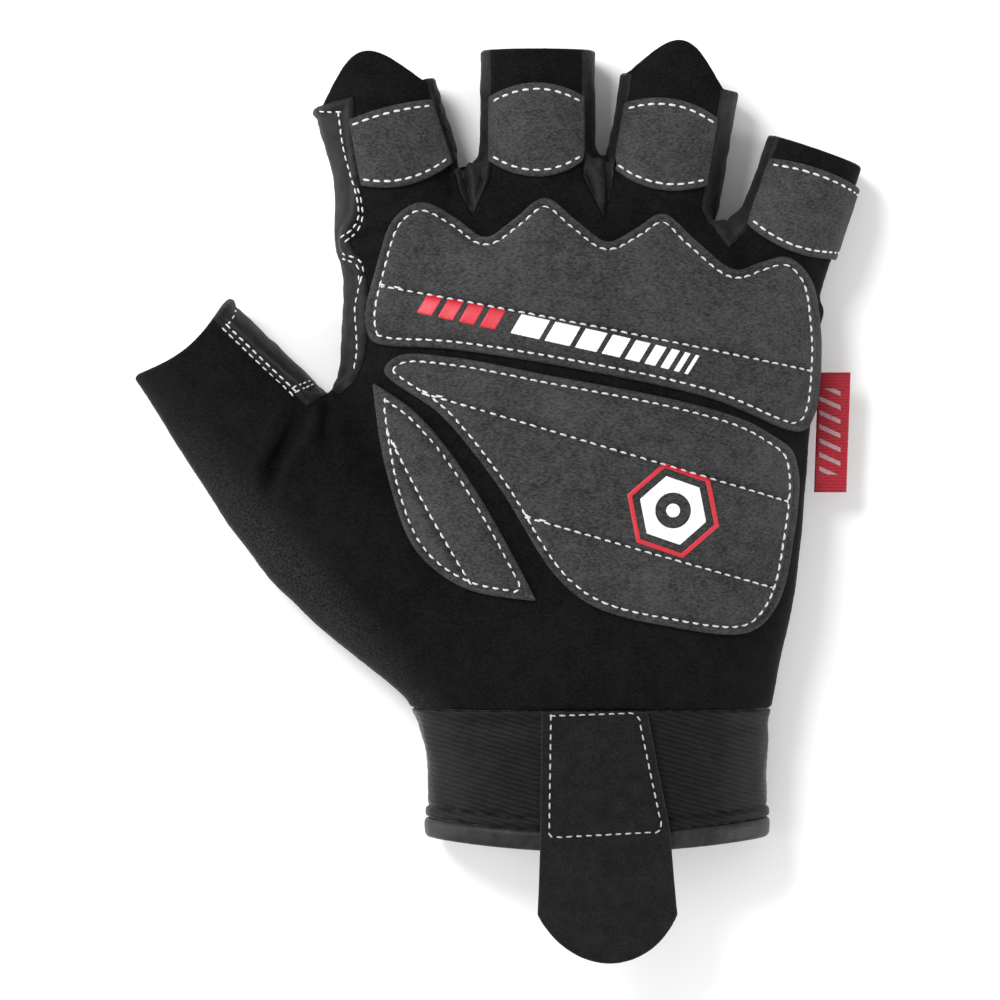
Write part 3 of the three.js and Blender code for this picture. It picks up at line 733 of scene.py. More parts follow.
class Graph:
    """A material's node tree, built a node at a time."""

    def __init__(self, name: str) -> None:
        """Start a material with a Principled shader."""
        self.material = bpy.data.materials.new(name)
        self.material.use_nodes = True
        self.tree = self.material.node_tree
        self.shader = self.tree.nodes["Principled BSDF"]
        coordinates = self.tree.nodes.new("ShaderNodeTexCoord")
        self.place = coordinates.outputs["Object"]

    def node(self, kind: str, settings: dict | None = None, **inputs: object) -> bpy.types.Node:
        """Add a node with its properties and sockets."""
        return add_node(self.tree, kind, settings, inputs)

    def noise(self, size: float, detail: float = 3.0, place: object = None, rough: float = 0.55) -> Socket:
        """A noise whose lumps are about this many millimetres across."""
        given = {"Scale": 1 / (size * MM), "Detail": detail, "Roughness": rough}
        return self.node("ShaderNodeTexNoise", Vector=place or self.place, **given).outputs["Fac"]

    def ribs(self, size: float, bands: Bands, place: object = None, **inputs: float) -> Socket:
        """Ribs this many millimetres apart.

        Args:
            size: their distance.
            bands: which way they run.
            place: where they are measured, or the object's own places.
            inputs: the wave's other values.

        Returns:
            Their height.
        """
        scale = 1 / (size * MM * WAVE_LENGTH)
        settings = {"wave_type": "BANDS", "bands_direction": bands.value}
        made = self.node("ShaderNodeTexWave", settings, Vector=place or self.place, Scale=scale, **inputs)
        return made.outputs["Fac"]

    def math(self, what: str, a: object, b: object = 0.0, c: object = 0.0) -> Socket:
        """One step of arithmetic."""
        return arithmetic(self.tree, what, (a, b, c))

    def total(self, *parts: tuple[object, float]) -> Socket:
        """Add up values by their weights."""
        out = None
        for value, weight in parts:
            term = value if weight == 1 else self.math("MULTIPLY", value, weight)
            out = term if out is None else self.math("ADD", out, term)
        return out

    def ramp(
        self, value: object, low: float, high: float, to_low: float = 0.0, to_high: float = 1.0
    ) -> Socket:
        """Stretch a range of a value to another range, with soft ends."""
        made = self.tree.nodes.new("ShaderNodeMapRange")
        made.interpolation_type = "SMOOTHSTEP"
        for key, given in (
            ("Value", value),
            ("From Min", low),
            ("From Max", high),
            ("To Min", to_low),
            ("To Max", to_high),
        ):
            put(self.tree, made.inputs[key], given)
        return made.outputs["Result"]

    def blend(self, share: object, a: object, b: object) -> Socket:
        """Mix two colours."""
        made = self.tree.nodes.new("ShaderNodeMix")
        made.data_type = "RGBA"
        put(self.tree, made.inputs["Factor"], share)
        for key, value in (("A", a), ("B", b)):
            socket = [s for s in made.inputs if s.name == key and s.type == "RGBA"][0]
            put(self.tree, socket, value if isinstance(value, Socket) else (*value, 1.0))
        return [s for s in made.outputs if s.type == "RGBA"][0]

    def bump(self, height: object, depth: float, strength: float = 1.0) -> None:
        """Roughen the surface by a height, depth in millimetres."""
        made = self.node("ShaderNodeBump", Height=height, Distance=depth * MM, Strength=strength)
        put(self.tree, self.shader.inputs["Normal"], made.outputs["Normal"])

    def finish(self, **inputs: object) -> Material:
        """Set the shader's sockets and give the material."""
        for key, value in inputs.items():
            put(self.tree, self.shader.inputs[key.replace("_", " ")], value)
        return self.material


def grey(level: float) -> tuple[float, float, float]:
    """The colour of a grey level."""
    return level, level, level


@dataclass(frozen=True)
class Suede:
    """A napped synthetic suede, with mottling where the nap lies differently, and, where asked, a painted
    sheen of lighter nap along its left edge.
    """

    name: str
    dark: float
    light: float
    mottle: float = 3.0
    nap: float = 0.5
    sheen: float = 0.1
    fuzz: float = 0.09
    spread: float = 0.11
    sheen_rough: float = 0.35
    gloss: float = 0.12
    # Painted highlight: the light grey that the nap is blended towards near the left edge, standing in for
    # side light on the fuzz.
    painted_edge_sheen: float = 0.0
    # Where the painted sheen shows, as lighter speckles along the left edge where side light catches the nap,
    # in millimetres: which way is inwards, how far in, and how far up.
    inwards: tuple[float, float] = (0.775, 0.632)
    sheen_reach_in: tuple[float, float] = (-46.0, -35.0)
    sheen_reach_up: tuple[float, float] = (-14.0, 30.0)

    def make(self) -> Material:
        """Build the material."""
        g = Graph(self.name)
        brushed = g.node("ShaderNodeMapping", Vector=g.place, Rotation=(0, 0, 0.5), Scale=(0.5, 1.0, 1.0))
        broad = g.noise(self.mottle * 6, 2.0)
        patches = g.noise(self.mottle, 3.0)
        grain = g.noise(self.nap, 4.0, brushed.outputs["Vector"], rough=0.7)
        tone = g.total((patches, 0.18), (broad, 0.16), (grain, 0.66))
        shade = g.ramp(tone, 0.5 - self.spread, 0.5 + self.spread)
        colour = g.blend(shade, grey(self.dark), grey(self.light))
        # Painted sheen: the colour is lightened in speckles near the left edge and low down, where grazing
        # side light catches the nap.
        if self.painted_edge_sheen:
            split = g.node("ShaderNodeSeparateXYZ", Vector=g.place).outputs
            inward = g.total((split["X"], self.inwards[0]), (split["Y"], self.inwards[1]))
            near = g.ramp(inward, self.sheen_reach_in[0] * MM, self.sheen_reach_in[1] * MM, 1.0, 0.0)
            below = g.ramp(split["Y"], self.sheen_reach_up[0] * MM, self.sheen_reach_up[1] * MM, 1.0, 0.2)
            side = g.math("MULTIPLY", near, below)
            speck = g.ramp(g.noise(0.45, 5.0, rough=0.75), 0.42, 0.6)
            colour = g.blend(g.math("MULTIPLY", side, speck), colour, grey(self.painted_edge_sheen))
        g.bump(g.total((grain, 1), (patches, 0.5)), self.fuzz, 0.85)
        return g.finish(
            Base_Color=colour,
            Roughness=g.ramp(grain, 0.3, 0.7, 0.85, 1.0),
            Sheen_Weight=self.sheen,
            Sheen_Roughness=self.sheen_rough,
            Specular_IOR_Level=self.gloss,
        )


@dataclass(frozen=True)
class Knit:
    """A fine stretch cloth with a slight gloss."""

    name: str
    dark: float
    light: float
    rib: float = 0.32
    rough: float = 0.65
    sheen: float = 0.05

    def make(self) -> Material:
        """Build the material."""
        g = Graph(self.name)
        wave = g.ribs(self.rib, Bands.DIAGONAL, Distortion=2.0, Detail=2.0, Detail_Scale=3.0)
        patches = g.noise(3.0, 3.0)
        colour = g.blend(g.ramp(patches, 0.3, 0.75), grey(self.dark), grey(self.light))
        g.bump(g.total((wave, 1), (g.noise(0.5), 0.8)), 0.04, 0.6)
        return g.finish(
            Base_Color=colour,
            Roughness=self.rough,
            Sheen_Weight=self.sheen,
            Sheen_Roughness=0.4,
            Specular_IOR_Level=0.15,
        )


@dataclass(frozen=True)
class Elastic:
    """A woven elastic with fine slanting ribs."""

    name: str
    dark: float
    light: float
    rib: float = 0.55
    slant: float = 16.0

    def make(self) -> Material:
        """Build the material."""
        g = Graph(self.name)
        turned = g.node("ShaderNodeMapping", Vector=g.place, Rotation=(0, 0, math.radians(self.slant)))
        way = turned.outputs["Vector"]
        wave = g.ribs(self.rib, Bands.ACROSS, way, Distortion=2.2, Detail=2.0, Detail_Scale=1.5)
        weave = g.noise(0.35, 2.0)
        tone = g.total((wave, 0.35), (g.noise(2.5, 4.0), 0.65))
        colour = g.blend(g.ramp(tone, 0.25, 0.8), grey(self.dark), grey(self.light))
        g.bump(g.total((wave, 1), (weave, 0.5)), 0.08, 0.8)
        return g.finish(
            Base_Color=colour, Roughness=0.6, Sheen_Weight=0.3, Sheen_Roughness=0.25, Specular_IOR_Level=0.1
        )


@dataclass(frozen=True)
class Felt:
    """A matt pressed felt, the soft side of a hook-and-loop tab."""

    name: str
    dark: float
    light: float

    def make(self) -> Material:
        """Build the material."""
        g = Graph(self.name)
        fibres = g.noise(0.45, 5.0, rough=0.7)
        patches = g.noise(3.5, 3.0)
        tone = g.total((fibres, 0.7), (patches, 0.3))
        colour = g.blend(g.ramp(tone, 0.35, 0.72), grey(self.dark), grey(self.light))
        g.bump(fibres, 0.12, 0.9)
        return g.finish(
            Base_Color=colour, Roughness=1.0, Sheen_Weight=0.08, Sheen_Roughness=0.5, Specular_IOR_Level=0.08
        )


@dataclass(frozen=True)
class Satin:
    """A woven satin ribbon with a plain row of slanting marks."""

    name: str
    colour: tuple[float, float, float]
    woven: tuple[float, float, float] = (0.36, 0.24, 0.26)
    slash: float = 3.1
    slope: float = 0.45
    rib: float = 0.35
    # The place of the marks across and along the label, and the softness of its border.
    field: tuple = ((70.6, 75.3), (5.6, 24.6))
    border: float = 0.1

    def make(self) -> Material:
        """Build the material."""
        g = Graph(self.name)
        wave = g.ribs(self.rib, Bands.ACROSS, Distortion=0.4, Detail=1.0)
        fleck = g.noise(0.7, 4.0)
        dark = tuple(0.45 * c for c in self.colour)
        tone = g.total((wave, 0.3), (fleck, 0.7))
        cloth = g.blend(g.ramp(tone, 0.2, 0.6), dark, self.colour)
        split = g.node("ShaderNodeSeparateXYZ", Vector=g.place).outputs
        slant = g.total((split["Y"], 1), (split["X"], self.slope))
        turn = g.math("FRACT", g.math("DIVIDE", slant, self.slash * MM))
        slash = g.math("ABSOLUTE", g.math("SUBTRACT", turn, 0.5))
        mark = g.ramp(slash, 0.13, 0.19, 1.0, 0.0)
        for axis, (low, high) in zip("XY", self.field):
            middle, half = (low + high) / 2 * MM, (high - low) / 2 * MM
            off = g.math("ABSOLUTE", g.math("SUBTRACT", split[axis], middle))
            border = self.border * MM
            mark = g.math("MULTIPLY", mark, g.ramp(off, half - border, half + border, 1.0, 0.0))
        colour = g.blend(g.math("MULTIPLY", mark, g.ramp(fleck, 0.3, 0.5, 0.55, 0.95)), cloth, self.woven)
        g.bump(g.total((wave, 1), (mark, 1.5)), 0.06, 0.7)
        return g.finish(
            Base_Color=colour, Roughness=0.5, Sheen_Weight=0.05, Sheen_Roughness=0.3, Specular_IOR_Level=0.3
        )


@dataclass(frozen=True)
class Thread:
    """A twisted sewing thread."""

    name: str
    level: float

    def make(self) -> Material:
        """Build the material."""
        g = Graph(self.name)
        fleck = g.noise(0.25, 3.0)
        colour = g.blend(g.ramp(fleck, 0.3, 0.7), grey(self.level * 0.72), grey(self.level))
        g.bump(fleck, 0.06, 0.7)
        return g.finish(Base_Color=colour, Roughness=0.6, Sheen_Weight=0.2)


@dataclass(frozen=True)
class Ink:
    """A rubbery print with slight wear from the nap under it."""

    name: str
    colour: tuple[float, float, float]

    def make(self) -> Material:
        """Build the material."""
        g = Graph(self.name)
        worn = g.ramp(g.noise(0.35, 4.0), 0.3, 0.5)
        colour = g.blend(worn, tuple(0.6 * c for c in self.colour), self.colour)
        g.bump(g.noise(0.3, 3.0), 0.04, 0.6)
        return g.finish(Base_Color=colour, Roughness=0.5)


# Stitches.


class StitchTree:
    """The node tree that lays thread along lines."""

    tree: bpy.types.NodeTree | None = None

    @classmethod
    def get(cls) -> bpy.types.NodeTree:
        """Build the tree once."""
        if cls.tree:
            return cls.tree
        tree = bpy.data.node_groups.new("stitches", "GeometryNodeTree")
        cls.tree = tree
        tree.interface.new_socket("Lines", in_out="INPUT", socket_type="NodeSocketGeometry")
        for name, value in (("Pitch", 2.25), ("Length", 1.65), ("Thickness", 0.52), ("Bow", 0.22)):
            socket = tree.interface.new_socket(name, in_out="INPUT", socket_type="NodeSocketFloat")
            socket.default_value = value * MM
        tree.interface.new_socket("Thread", in_out="INPUT", socket_type="NodeSocketMaterial")
        tree.interface.new_socket("Stitches", in_out="OUTPUT", socket_type="NodeSocketGeometry")

        def add(kind: str, settings: dict | None = None, **inputs: object) -> bpy.types.Node:
            """Add a node with its properties and sockets."""
            return add_node(tree, kind, settings, inputs)

        def step(what: str, *values: object) -> Socket:
            """One step of arithmetic."""
            return arithmetic(tree, what, values)

        given = tree.nodes.new("NodeGroupInput").outputs
        curve = add("GeometryNodeMeshToCurve", Mesh=given["Lines"])
        by_length = {"mode": "LENGTH"}
        spread = add(
            "GeometryNodeResampleCurve", by_length, Curve=curve.outputs["Curve"], Length=given["Pitch"]
        )
        ball = add("GeometryNodeMeshUVSphere", Segments=7, Rings=7, Radius=1.0)
        lying = add("GeometryNodeTransform", Geometry=ball.outputs["Mesh"], Rotation=(0.0, math.pi / 2, 0.0))
        split = add("ShaderNodeSeparateXYZ", Vector=add("GeometryNodeInputPosition").outputs[0])
        x, y, z = split.outputs
        radius = step("SQRT", step("ADD", step("MULTIPLY", y, y), step("MULTIPLY", z, z)))
        fuller = step("POWER", step("MAXIMUM", radius, 0.02), -0.45)
        half = step("MULTIPLY", given["Thickness"], 0.5)
        wide = step("MULTIPLY", step("MULTIPLY", y, fuller), half)
        high = step("MULTIPLY", step("MULTIPLY", z, fuller), half)
        arch = step("MULTIPLY", step("SUBTRACT", 0.55, step("MULTIPLY", x, x)), given["Bow"])
        long = step("MULTIPLY", step("MULTIPLY", x, given["Length"]), 0.5)
        shaped = add("ShaderNodeCombineXYZ", X=long, Y=wide, Z=step("ADD", high, arch))
        formed = lying.outputs["Geometry"]
        stitch = add("GeometryNodeSetPosition", Geometry=formed, Position=shaped.outputs[0])
        up = add("GeometryNodeInputNamedAttribute", {"data_type": "FLOAT_VECTOR"}, Name="up")
        upright = add("FunctionNodeAlignRotationToVector", {"axis": "Z"}, Vector=up.outputs["Attribute"])
        along = add(
            "FunctionNodeAlignRotationToVector",
            {"axis": "X", "pivot_axis": "Z"},
            Rotation=upright.outputs[0],
            Vector=add("GeometryNodeInputTangent").outputs[0],
        )
        chance = add("FunctionNodeRandomValue", {"data_type": "FLOAT_VECTOR"}, Seed=7)
        chance.inputs["Min"].default_value = (-0.03, -0.03, -0.07)
        chance.inputs["Max"].default_value = (0.03, 0.03, 0.07)
        skew = add("FunctionNodeEulerToRotation", Euler=chance.outputs["Value"])
        turned = add(
            "FunctionNodeRotateRotation",
            {"rotation_space": "LOCAL"},
            Rotation=along.outputs[0],
            Rotate_By=skew.outputs[0],
        )
        size = add("FunctionNodeRandomValue", {"data_type": "FLOAT_VECTOR"}, Seed=11)
        size.inputs["Min"].default_value = (0.9, 0.9, 0.9)
        size.inputs["Max"].default_value = (1.06, 1.08, 1.08)
        laid = add(
            "GeometryNodeInstanceOnPoints",
            Points=spread.outputs["Curve"],
            Instance=stitch.outputs["Geometry"],
            Rotation=turned.outputs[0],
            Scale=size.outputs["Value"],
        )
        real = add("GeometryNodeRealizeInstances", Geometry=laid.outputs["Instances"])
        smooth = add("GeometryNodeSetShadeSmooth", Geometry=real.outputs["Geometry"]).outputs["Geometry"]
        dressed = add("GeometryNodeSetMaterial", Geometry=smooth, Material=given["Thread"])
        tree.links.new(dressed.outputs["Geometry"], tree.nodes.new("NodeGroupOutput").inputs["Stitches"])
        return tree


@dataclass
class Stitching:
    """Rows of stitches in one thread, laid on the pieces under them."""

    name: str
    pitch: float = 2.25
    length: float = 1.65
    thickness: float = 0.52
    bow: float = 0.22
    runs: list[tuple[Array, Array]] = field(default_factory=list)

    def lay(self, path: Array, ground: "Ground", closed: bool = False) -> None:
        """Lay a row of stitches.

        Args:
            path: the row in plan.
            ground: what it lies on.
            closed: whether the row joins its start.
        """
        path = even(np.vstack([path, path[:1]]) if closed else path, 0.6)
        hits = [ground.under(x, y) for x, y in path]
        hits = [hit for hit in hits if hit]
        if len(hits) < 3:
            return
        at = np.array([h[0] for h in hits])
        up = np.array([h[1] for h in hits])
        kernel = np.hanning(9)[1:-1] / np.hanning(9)[1:-1].sum()
        for k in range(3):
            up[:, k] = np.convolve(np.pad(up[:, k], 3, mode="edge"), kernel, mode="valid")
            at[:, k] = np.convolve(np.pad(at[:, k], 3, mode="edge"), kernel, mode="valid")
        up /= np.linalg.norm(up, axis=1)[:, None]
        self.runs.append((at, up))

    def sew(self, thread: Material) -> Piece:
        """Turn the rows into thread.

        Args:
            thread: the thread's finish.

        Returns:
            The stitches as one mesh.
        """
        at = np.vstack([run[0] for run in self.runs])
        ups = np.vstack([run[1] for run in self.runs])
        edges, start = [], 0
        for run in self.runs:
            edges += [(start + i, start + i + 1) for i in range(len(run[0]) - 1)]
            start += len(run[0])
        mesh = bpy.data.meshes.new(self.name + "_lines")
        mesh.from_pydata(((at + np.array([*WRIST_MIDDLE, 0.0])) * MM).tolist(), edges, [])
        attribute = mesh.attributes.new("up", "FLOAT_VECTOR", "POINT")
        attribute.data.foreach_set("vector", ups.astype(np.float32).ravel())
        lines = bpy.data.objects.new(self.name + "_lines", mesh)
        bpy.context.collection.objects.link(lines)
        modifier = lines.modifiers.new("stitches", "NODES")
        tree = StitchTree.get()
        modifier.node_group = tree
        values = {
            "Pitch": self.pitch * MM,
            "Length": self.length * MM,
            "Thickness": self.thickness * MM,
            "Bow": self.bow * MM,
            "Thread": thread,
        }
        for item in tree.interface.items_tree:
            if item.in_out == "INPUT" and item.name in values:
                modifier[item.identifier] = values[item.name]
        bpy.context.view_layer.update()
        depsgraph = bpy.context.evaluated_depsgraph_get()
        made = bpy.data.meshes.new_from_object(lines.evaluated_get(depsgraph), depsgraph=depsgraph)
        made.name = self.name
        bpy.data.objects.remove(lines)
        obj = bpy.data.objects.new(self.name, made)
        bpy.context.collection.objects.link(obj)
        if not made.materials:
            made.materials.append(thread)
        return obj


class Ground:
    """What stitches and prints lie on."""

    def __init__(self, pieces: Sequence[Piece]) -> None:
        """Gather the pieces' faces."""
        at, faces = [], []
        for piece in pieces:
            shift = len(at)
            at += [v.co / MM for v in piece.data.vertices]
            faces += [tuple(i + shift for i in f.vertices) for f in piece.data.polygons]
        self.tree = BVHTree.FromPolygons(at, faces)

    def under(self, x: float, y: float) -> tuple[tuple, tuple] | None:
        """Find what lies under a plan place: the place and its upward direction."""
        hit = self.tree.ray_cast(Vector((x + WRIST_MIDDLE[0], y + WRIST_MIDDLE[1], 90)), Vector((0, 0, -1)))
        if hit[0] is None:
            return None
        x0, y0, z0 = hit[0]
        return (x0 - WRIST_MIDDLE[0], y0 - WRIST_MIDDLE[1], z0), tuple(hit[1])


# The glove's pieces.


def risen(depth: Array, radius: float) -> Array:
    """How far a round edge has risen at a depth from it: 0 at the edge, 1 past the radius."""
    return np.sqrt(np.maximum(0, 1 - np.maximum(0, 1 - depth / radius) ** 2))


def rounded(depth: Array, radius: float) -> Array:
    """How far an edge has turned in at a depth from it: 1 at the edge, 0 past the radius."""
    return 1 - risen(depth, radius)


def hump(offset: Array, width: float) -> Array:
    """A soft bump across a line: 1 on it, and next to nothing two widths from it."""
    return np.exp(-((offset / width) ** 2))


def soft(value: Array, low: float, high: float) -> Array:
    """Rise smoothly from 0 to 1 between two values."""
    t = np.clip((value - low) / (high - low), 0, 1)
    return t * t * (3 - 2 * t)


def ripple(at: Array, size: float, seed: int) -> Array:
    """A gentle unevenness between -1 and 1 whose lumps are about this many millimetres long."""
    rng = np.random.default_rng(seed)
    out = np.zeros(len(at))
    for _ in range(9):
        way = rng.normal(size=3)
        way *= rng.uniform(0.6, 1.5) * 2 * math.pi / (size * np.linalg.norm(way))
        out += np.sin(at @ way + rng.uniform(0, 2 * math.pi))
    return out / 4.5


@dataclass(frozen=True)
class Crease:
    """A fold pressed into the cloth: a line in shares of the palm, with its depth and width."""

    line: tuple
    depth: float
    width: float

    def press(self, at: Array, form: HandForm) -> Array:
        """How far the fold goes in at each place."""
        path = form.outline(self.line, closed=False, step=1.0)
        gap, share = to_line(at[:, :2], path)
        fade = np.sin(np.clip(share, 0.02, 0.98) * math.pi) ** 0.6
        valley = hump(gap, self.width)
        lips = 0.35 * hump(gap - 2.1 * self.width, self.width)
        return self.depth * fade * (valley - lips)


@dataclass
class Shell:
    """The glove's cloth: palm, back, gussets and side strips."""

    form: HandForm
    cloth: float = 1.4
    thinnest: float = 0.35
    gap: float = -0.03
    turn: float = 0.9
    gusset_foot: float = 2.6
    thumb_sag: float = 2.8
    thumb_margin: float = 0.4
    # How far from a seam the puckers of its stitches reach.
    pucker: float = 1.3
    # How far in from the rim's ends a pull tab starts, and how sharply it rises.
    tab_inset: float = 1.9
    tab_rise: float = 1.15
    # How far past its sides and from how far along a finger's rim counts.
    beside: float = 3.0
    rim_from: float = 5.0
    # Where the thumb's rim counts: left and right of its axis, and from how far along.
    thumb_span: tuple[float, float, float] = (-8.0, 36.0, 60.0)
    # How much of the seams' groove goes near the thumb's crotch, and how near.
    crotch_calm: float = 0.85
    crotch_reach: float = 5.5
    # The thumb's crotch in shares of the palm.
    crotch: tuple[float, float] = (-0.558, 0.582)
    # Where the point of each gusset lies.
    tips: tuple = (
        ("index_middle", -0.258, 0.908),
        ("middle_ring", 0.021, 0.898),
        ("ring_little", 0.279, 0.849),
    )
    # The seam between the palm cloth and the index finger's side strip.
    strip_seam: tuple = (
        (-0.512, 1.25),
        (-0.505, 1.1),
        (-0.494, 0.915),
        (-0.52, 0.862),
        (-0.486, 0.81),
        (-0.476, 0.74),
        (-0.484, 0.65),
        (-0.4966, 0.6186),
        (-0.5175, 0.5928),
        (-0.5406, 0.578),
        (-0.5573, 0.5744),
    )
    # The rows of stitches on the side strips.
    strip_rows: tuple = (
        (
            (-0.538, 1.097),
            (-0.532, 1.055),
            (-0.524, 1.016),
            (-0.506, 0.963),
            (-0.4965, 0.925),
            (-0.4975, 0.896),
            (-0.511, 0.88),
            (-0.533, 0.868),
        ),
        ((-0.497, 0.955), (-0.488, 0.925), (-0.489, 0.893), (-0.505, 0.872), (-0.523, 0.861)),
        ((-0.53, 0.838), (-0.505, 0.83), (-0.486, 0.819), (-0.487, 0.803), (-0.4915, 0.788)),
        ((-0.53, 0.829), (-0.508, 0.822), (-0.4955, 0.812), (-0.4955, 0.79)),
        (
            (-0.4915, 0.788),
            (-0.498, 0.764),
            (-0.504, 0.74),
            (-0.501, 0.696),
            (-0.499, 0.655),
            (-0.505, 0.628),
        ),
        ((-0.577, 1.1), (-0.56, 1.098), (-0.535, 1.098)),
        ((-0.771, 0.7051), (-0.702, 0.6462), (-0.6265, 0.5836)),
        ((-0.7785, 0.6985), (-0.709, 0.6396), (-0.6338, 0.577)),
        ((-0.7543, 0.7346), (-0.758, 0.72), (-0.769, 0.7065)),
        ((-0.633, 0.59), (-0.615, 0.597), (-0.597, 0.604)),
        ((-0.6265, 0.5825), (-0.608, 0.59), (-0.591, 0.5975)),
    )
    # The folds in the palm cloth.
    creases: tuple = (
        Crease(((-0.6185, 0.559), (-0.641, 0.506), (-0.671, 0.448), (-0.678, 0.395)), 2.8, 1.6),
        Crease(((-0.598, 0.562), (-0.612, 0.52), (-0.63, 0.478)), 1.1, 1.3),
        Crease(((-0.555, 0.562), (-0.563, 0.506), (-0.555, 0.455)), 1.5, 1.5),
        Crease(((-0.53, 0.85), (-0.49, 0.862), (-0.43, 0.885)), 0.9, 1.3),
        Crease(((-0.5, 0.9), (-0.44, 0.915), (-0.36, 0.965)), 0.5, 1.5),
        Crease(((-0.34, 1.0), (-0.3, 0.96), (-0.28, 0.92)), 0.45, 1.2),
        Crease(((0.3, 0.845), (0.36, 0.86), (0.44, 0.875)), 0.5, 1.4),
        Crease(((0.44, 0.9), (0.47, 0.86), (0.475, 0.8)), 0.4, 1.3),
    )
    # The folds in the gussets.
    tucks: tuple = (
        Crease(((-0.283, 1.02), (-0.27, 0.96), (-0.258, 0.9)), 1.9, 0.8),
        Crease(((-0.32, 0.99), (-0.297, 0.955), (-0.272, 0.93)), 0.9, 0.55),
        Crease(((-0.235, 0.995), (-0.243, 0.96), (-0.253, 0.925)), 0.9, 0.55),
        Crease(((-0.305, 1.01), (-0.287, 0.985)), 0.5, 0.5),
        Crease(((0.021, 1.02), (0.026, 0.96), (0.021, 0.895)), 1.9, 0.8),
        Crease(((-0.02, 0.995), (-0.003, 0.955), (0.014, 0.92)), 0.9, 0.55),
        Crease(((0.065, 0.995), (0.048, 0.96), (0.031, 0.925)), 0.9, 0.55),
        Crease(((0.0, 1.01), (0.012, 0.98)), 0.5, 0.5),
        Crease(((0.25, 0.88), (0.268, 0.86)), 0.45, 0.7),
        Crease(((0.325, 0.885), (0.3, 0.86)), 0.45, 0.7),
    )

    def gusset(self, index: int) -> Array:
        """The plan outline of a gusset between two fingers."""
        fingers = list(self.form.fingers.values())
        a, b = fingers[index], fingers[index + 1]
        tip = np.array(self.form.plan(*self.tips[index][1:]))
        left = [a.place(a.seam(1, q), q) for q in (60, 0.12 * a.reach)]
        right = [b.place(b.seam(-1, q), q) for q in (0.12 * b.reach, 60)]
        return np.vstack([left, tip[None], right])

    def index_strip(self) -> Array:
        """The plan outline of the strip from the index finger's side to the thumb's crotch."""
        outside = ((-0.6, 0.585), (-0.6, 0.66), (-0.64, 1.0), (-0.64, 1.25))
        seam = self.form.outline(self.strip_seam, closed=False)
        return np.vstack([seam, [self.form.plan(*pair) for pair in outside]])

    def thumb_edge(self, share: float, side: int) -> float:
        """Where the thumb's edge runs across it: side is 1 for left, 2 for right."""
        rows = np.array(self.form.thumb_rows)
        return float(np.interp(share, rows[:, 0], rows[:, side])) * self.form.thumb_width

    def thumb_strip(self) -> Array:
        """The plan outline of the strip on the thumb's inner side."""
        thumb = self.form.thumb()
        reach = self.form.thumb_reach
        width = self.form.thumb_seam
        seam = [thumb.place(self.thumb_edge(s, 2) - width, s * reach) for s in (1.3, 1.0, 0.85, 0.72, 0.697)]
        edge = self.thumb_edge(1.0, 2) + width
        foot = thumb.place(self.thumb_edge(0.675, 2) + 2.2, 0.69 * reach)
        return np.vstack([seam, foot, thumb.place(edge, 0.69 * reach + 9), thumb.place(edge, 1.3 * reach)])

    def thumb_corridor(self) -> Array:
        """The thumb in plan, with a margin."""
        thumb = self.form.thumb()
        rows = [row for row in self.form.thumb_rows if row[0] > 0.4]
        width, reach = self.form.thumb_width, self.form.thumb_reach
        left = [thumb.place(row[1] * width - self.thumb_margin, row[0] * reach) for row in rows]
        right = [thumb.place(row[2] * width + self.thumb_margin, row[0] * reach) for row in rows]
        return np.vstack([left, right[::-1]])

    def rims(self, ends: Ends) -> Region:
        """How deep places lie inside the open ends."""

        def depth(at: Array) -> Array:
            """Measure the places."""
            out = np.full(len(at), FAR)
            for finger in self.form.fingers.values():
                p, q = finger.local(at[:, :2])
                end = np.full(len(p), finger.reach)
                if ends is Ends.TABBED and finger.tab:
                    half = finger.rim_width / 2 - self.tab_inset
                    share = np.clip((p - finger.tab_shift) / half, -1, 1)
                    end += finger.tab * np.cos(share * math.pi / 2) ** self.tab_rise
                corridor = (np.abs(p) < finger.rim_width / 2 + self.beside) & (q > self.rim_from)
                out = np.where(corridor, np.minimum(out, end - q), out)
            thumb = self.form.thumb()
            p, q = thumb.local(at[:, :2])
            share = np.clip(p / self.form.thumb_rim, 0, 1)
            end = thumb.reach - self.thumb_sag * np.sin(share * math.pi)
            left, right, start = self.thumb_span
            corridor = (p > left) & (p < right) & (q > start)
            out = np.where(corridor, np.minimum(out, end - q), out)
            return np.minimum(out, at[:, 1])

        return depth

    def seam_share(self, at: Array) -> Array:
        """How much of a seam's groove shows: all of it, but little in the thumb's crotch."""
        gap = at[:, :2] - self.form.plan(*self.crotch)
        return 1 - self.crotch_calm * np.exp(-(gap * gap).sum(1) / self.crotch_reach**2)

    def rows(self) -> list[Array]:
        """The rows of stitches on the side strips, in plan."""
        return [self.form.outline(row, closed=False, step=0.5) for row in self.strip_rows]

    def build(self, cloth: dict[str, Material]) -> dict[str, Piece]:
        """Make the cloth pieces.

        Args:
            cloth: the finish of each kind of cloth.

        Returns:
            The pieces by their node names.
        """
        skin = self.form.skin
        corridor = self.thumb_corridor()
        zones: dict[str, Region] = {}
        for i, (name, *_) in enumerate(self.tips):
            zone = self.gusset(i)
            zones["gusset_" + name] = lambda at, z=zone: inside(at[:, :2], z)
        strip, thumb_strip = self.index_strip(), self.thumb_strip()
        zones["index_side_strip"] = lambda at: np.minimum(
            inside(at[:, :2], strip), -inside(at[:, :2], corridor)
        )
        zones["thumb_side_strip"] = lambda at: inside(at[:, :2], thumb_strip)
        open_rims, flat_rims = self.rims(Ends.TABBED), self.rims(Ends.FLAT)
        equator = self.form.drop

        def past_rims(at: Array) -> Array:
            """How far places lie past the open ends of the fingers that have pull tabs."""
            out = np.full(len(at), -FAR)
            for finger in self.form.fingers.values():
                p, q = finger.local(at[:, :2])
                if finger.tab:
                    beside = np.abs(p) < finger.rim_width / 2 + self.beside
                    out = np.where(beside, np.maximum(out, q - finger.reach + 0.6), out)
            return out

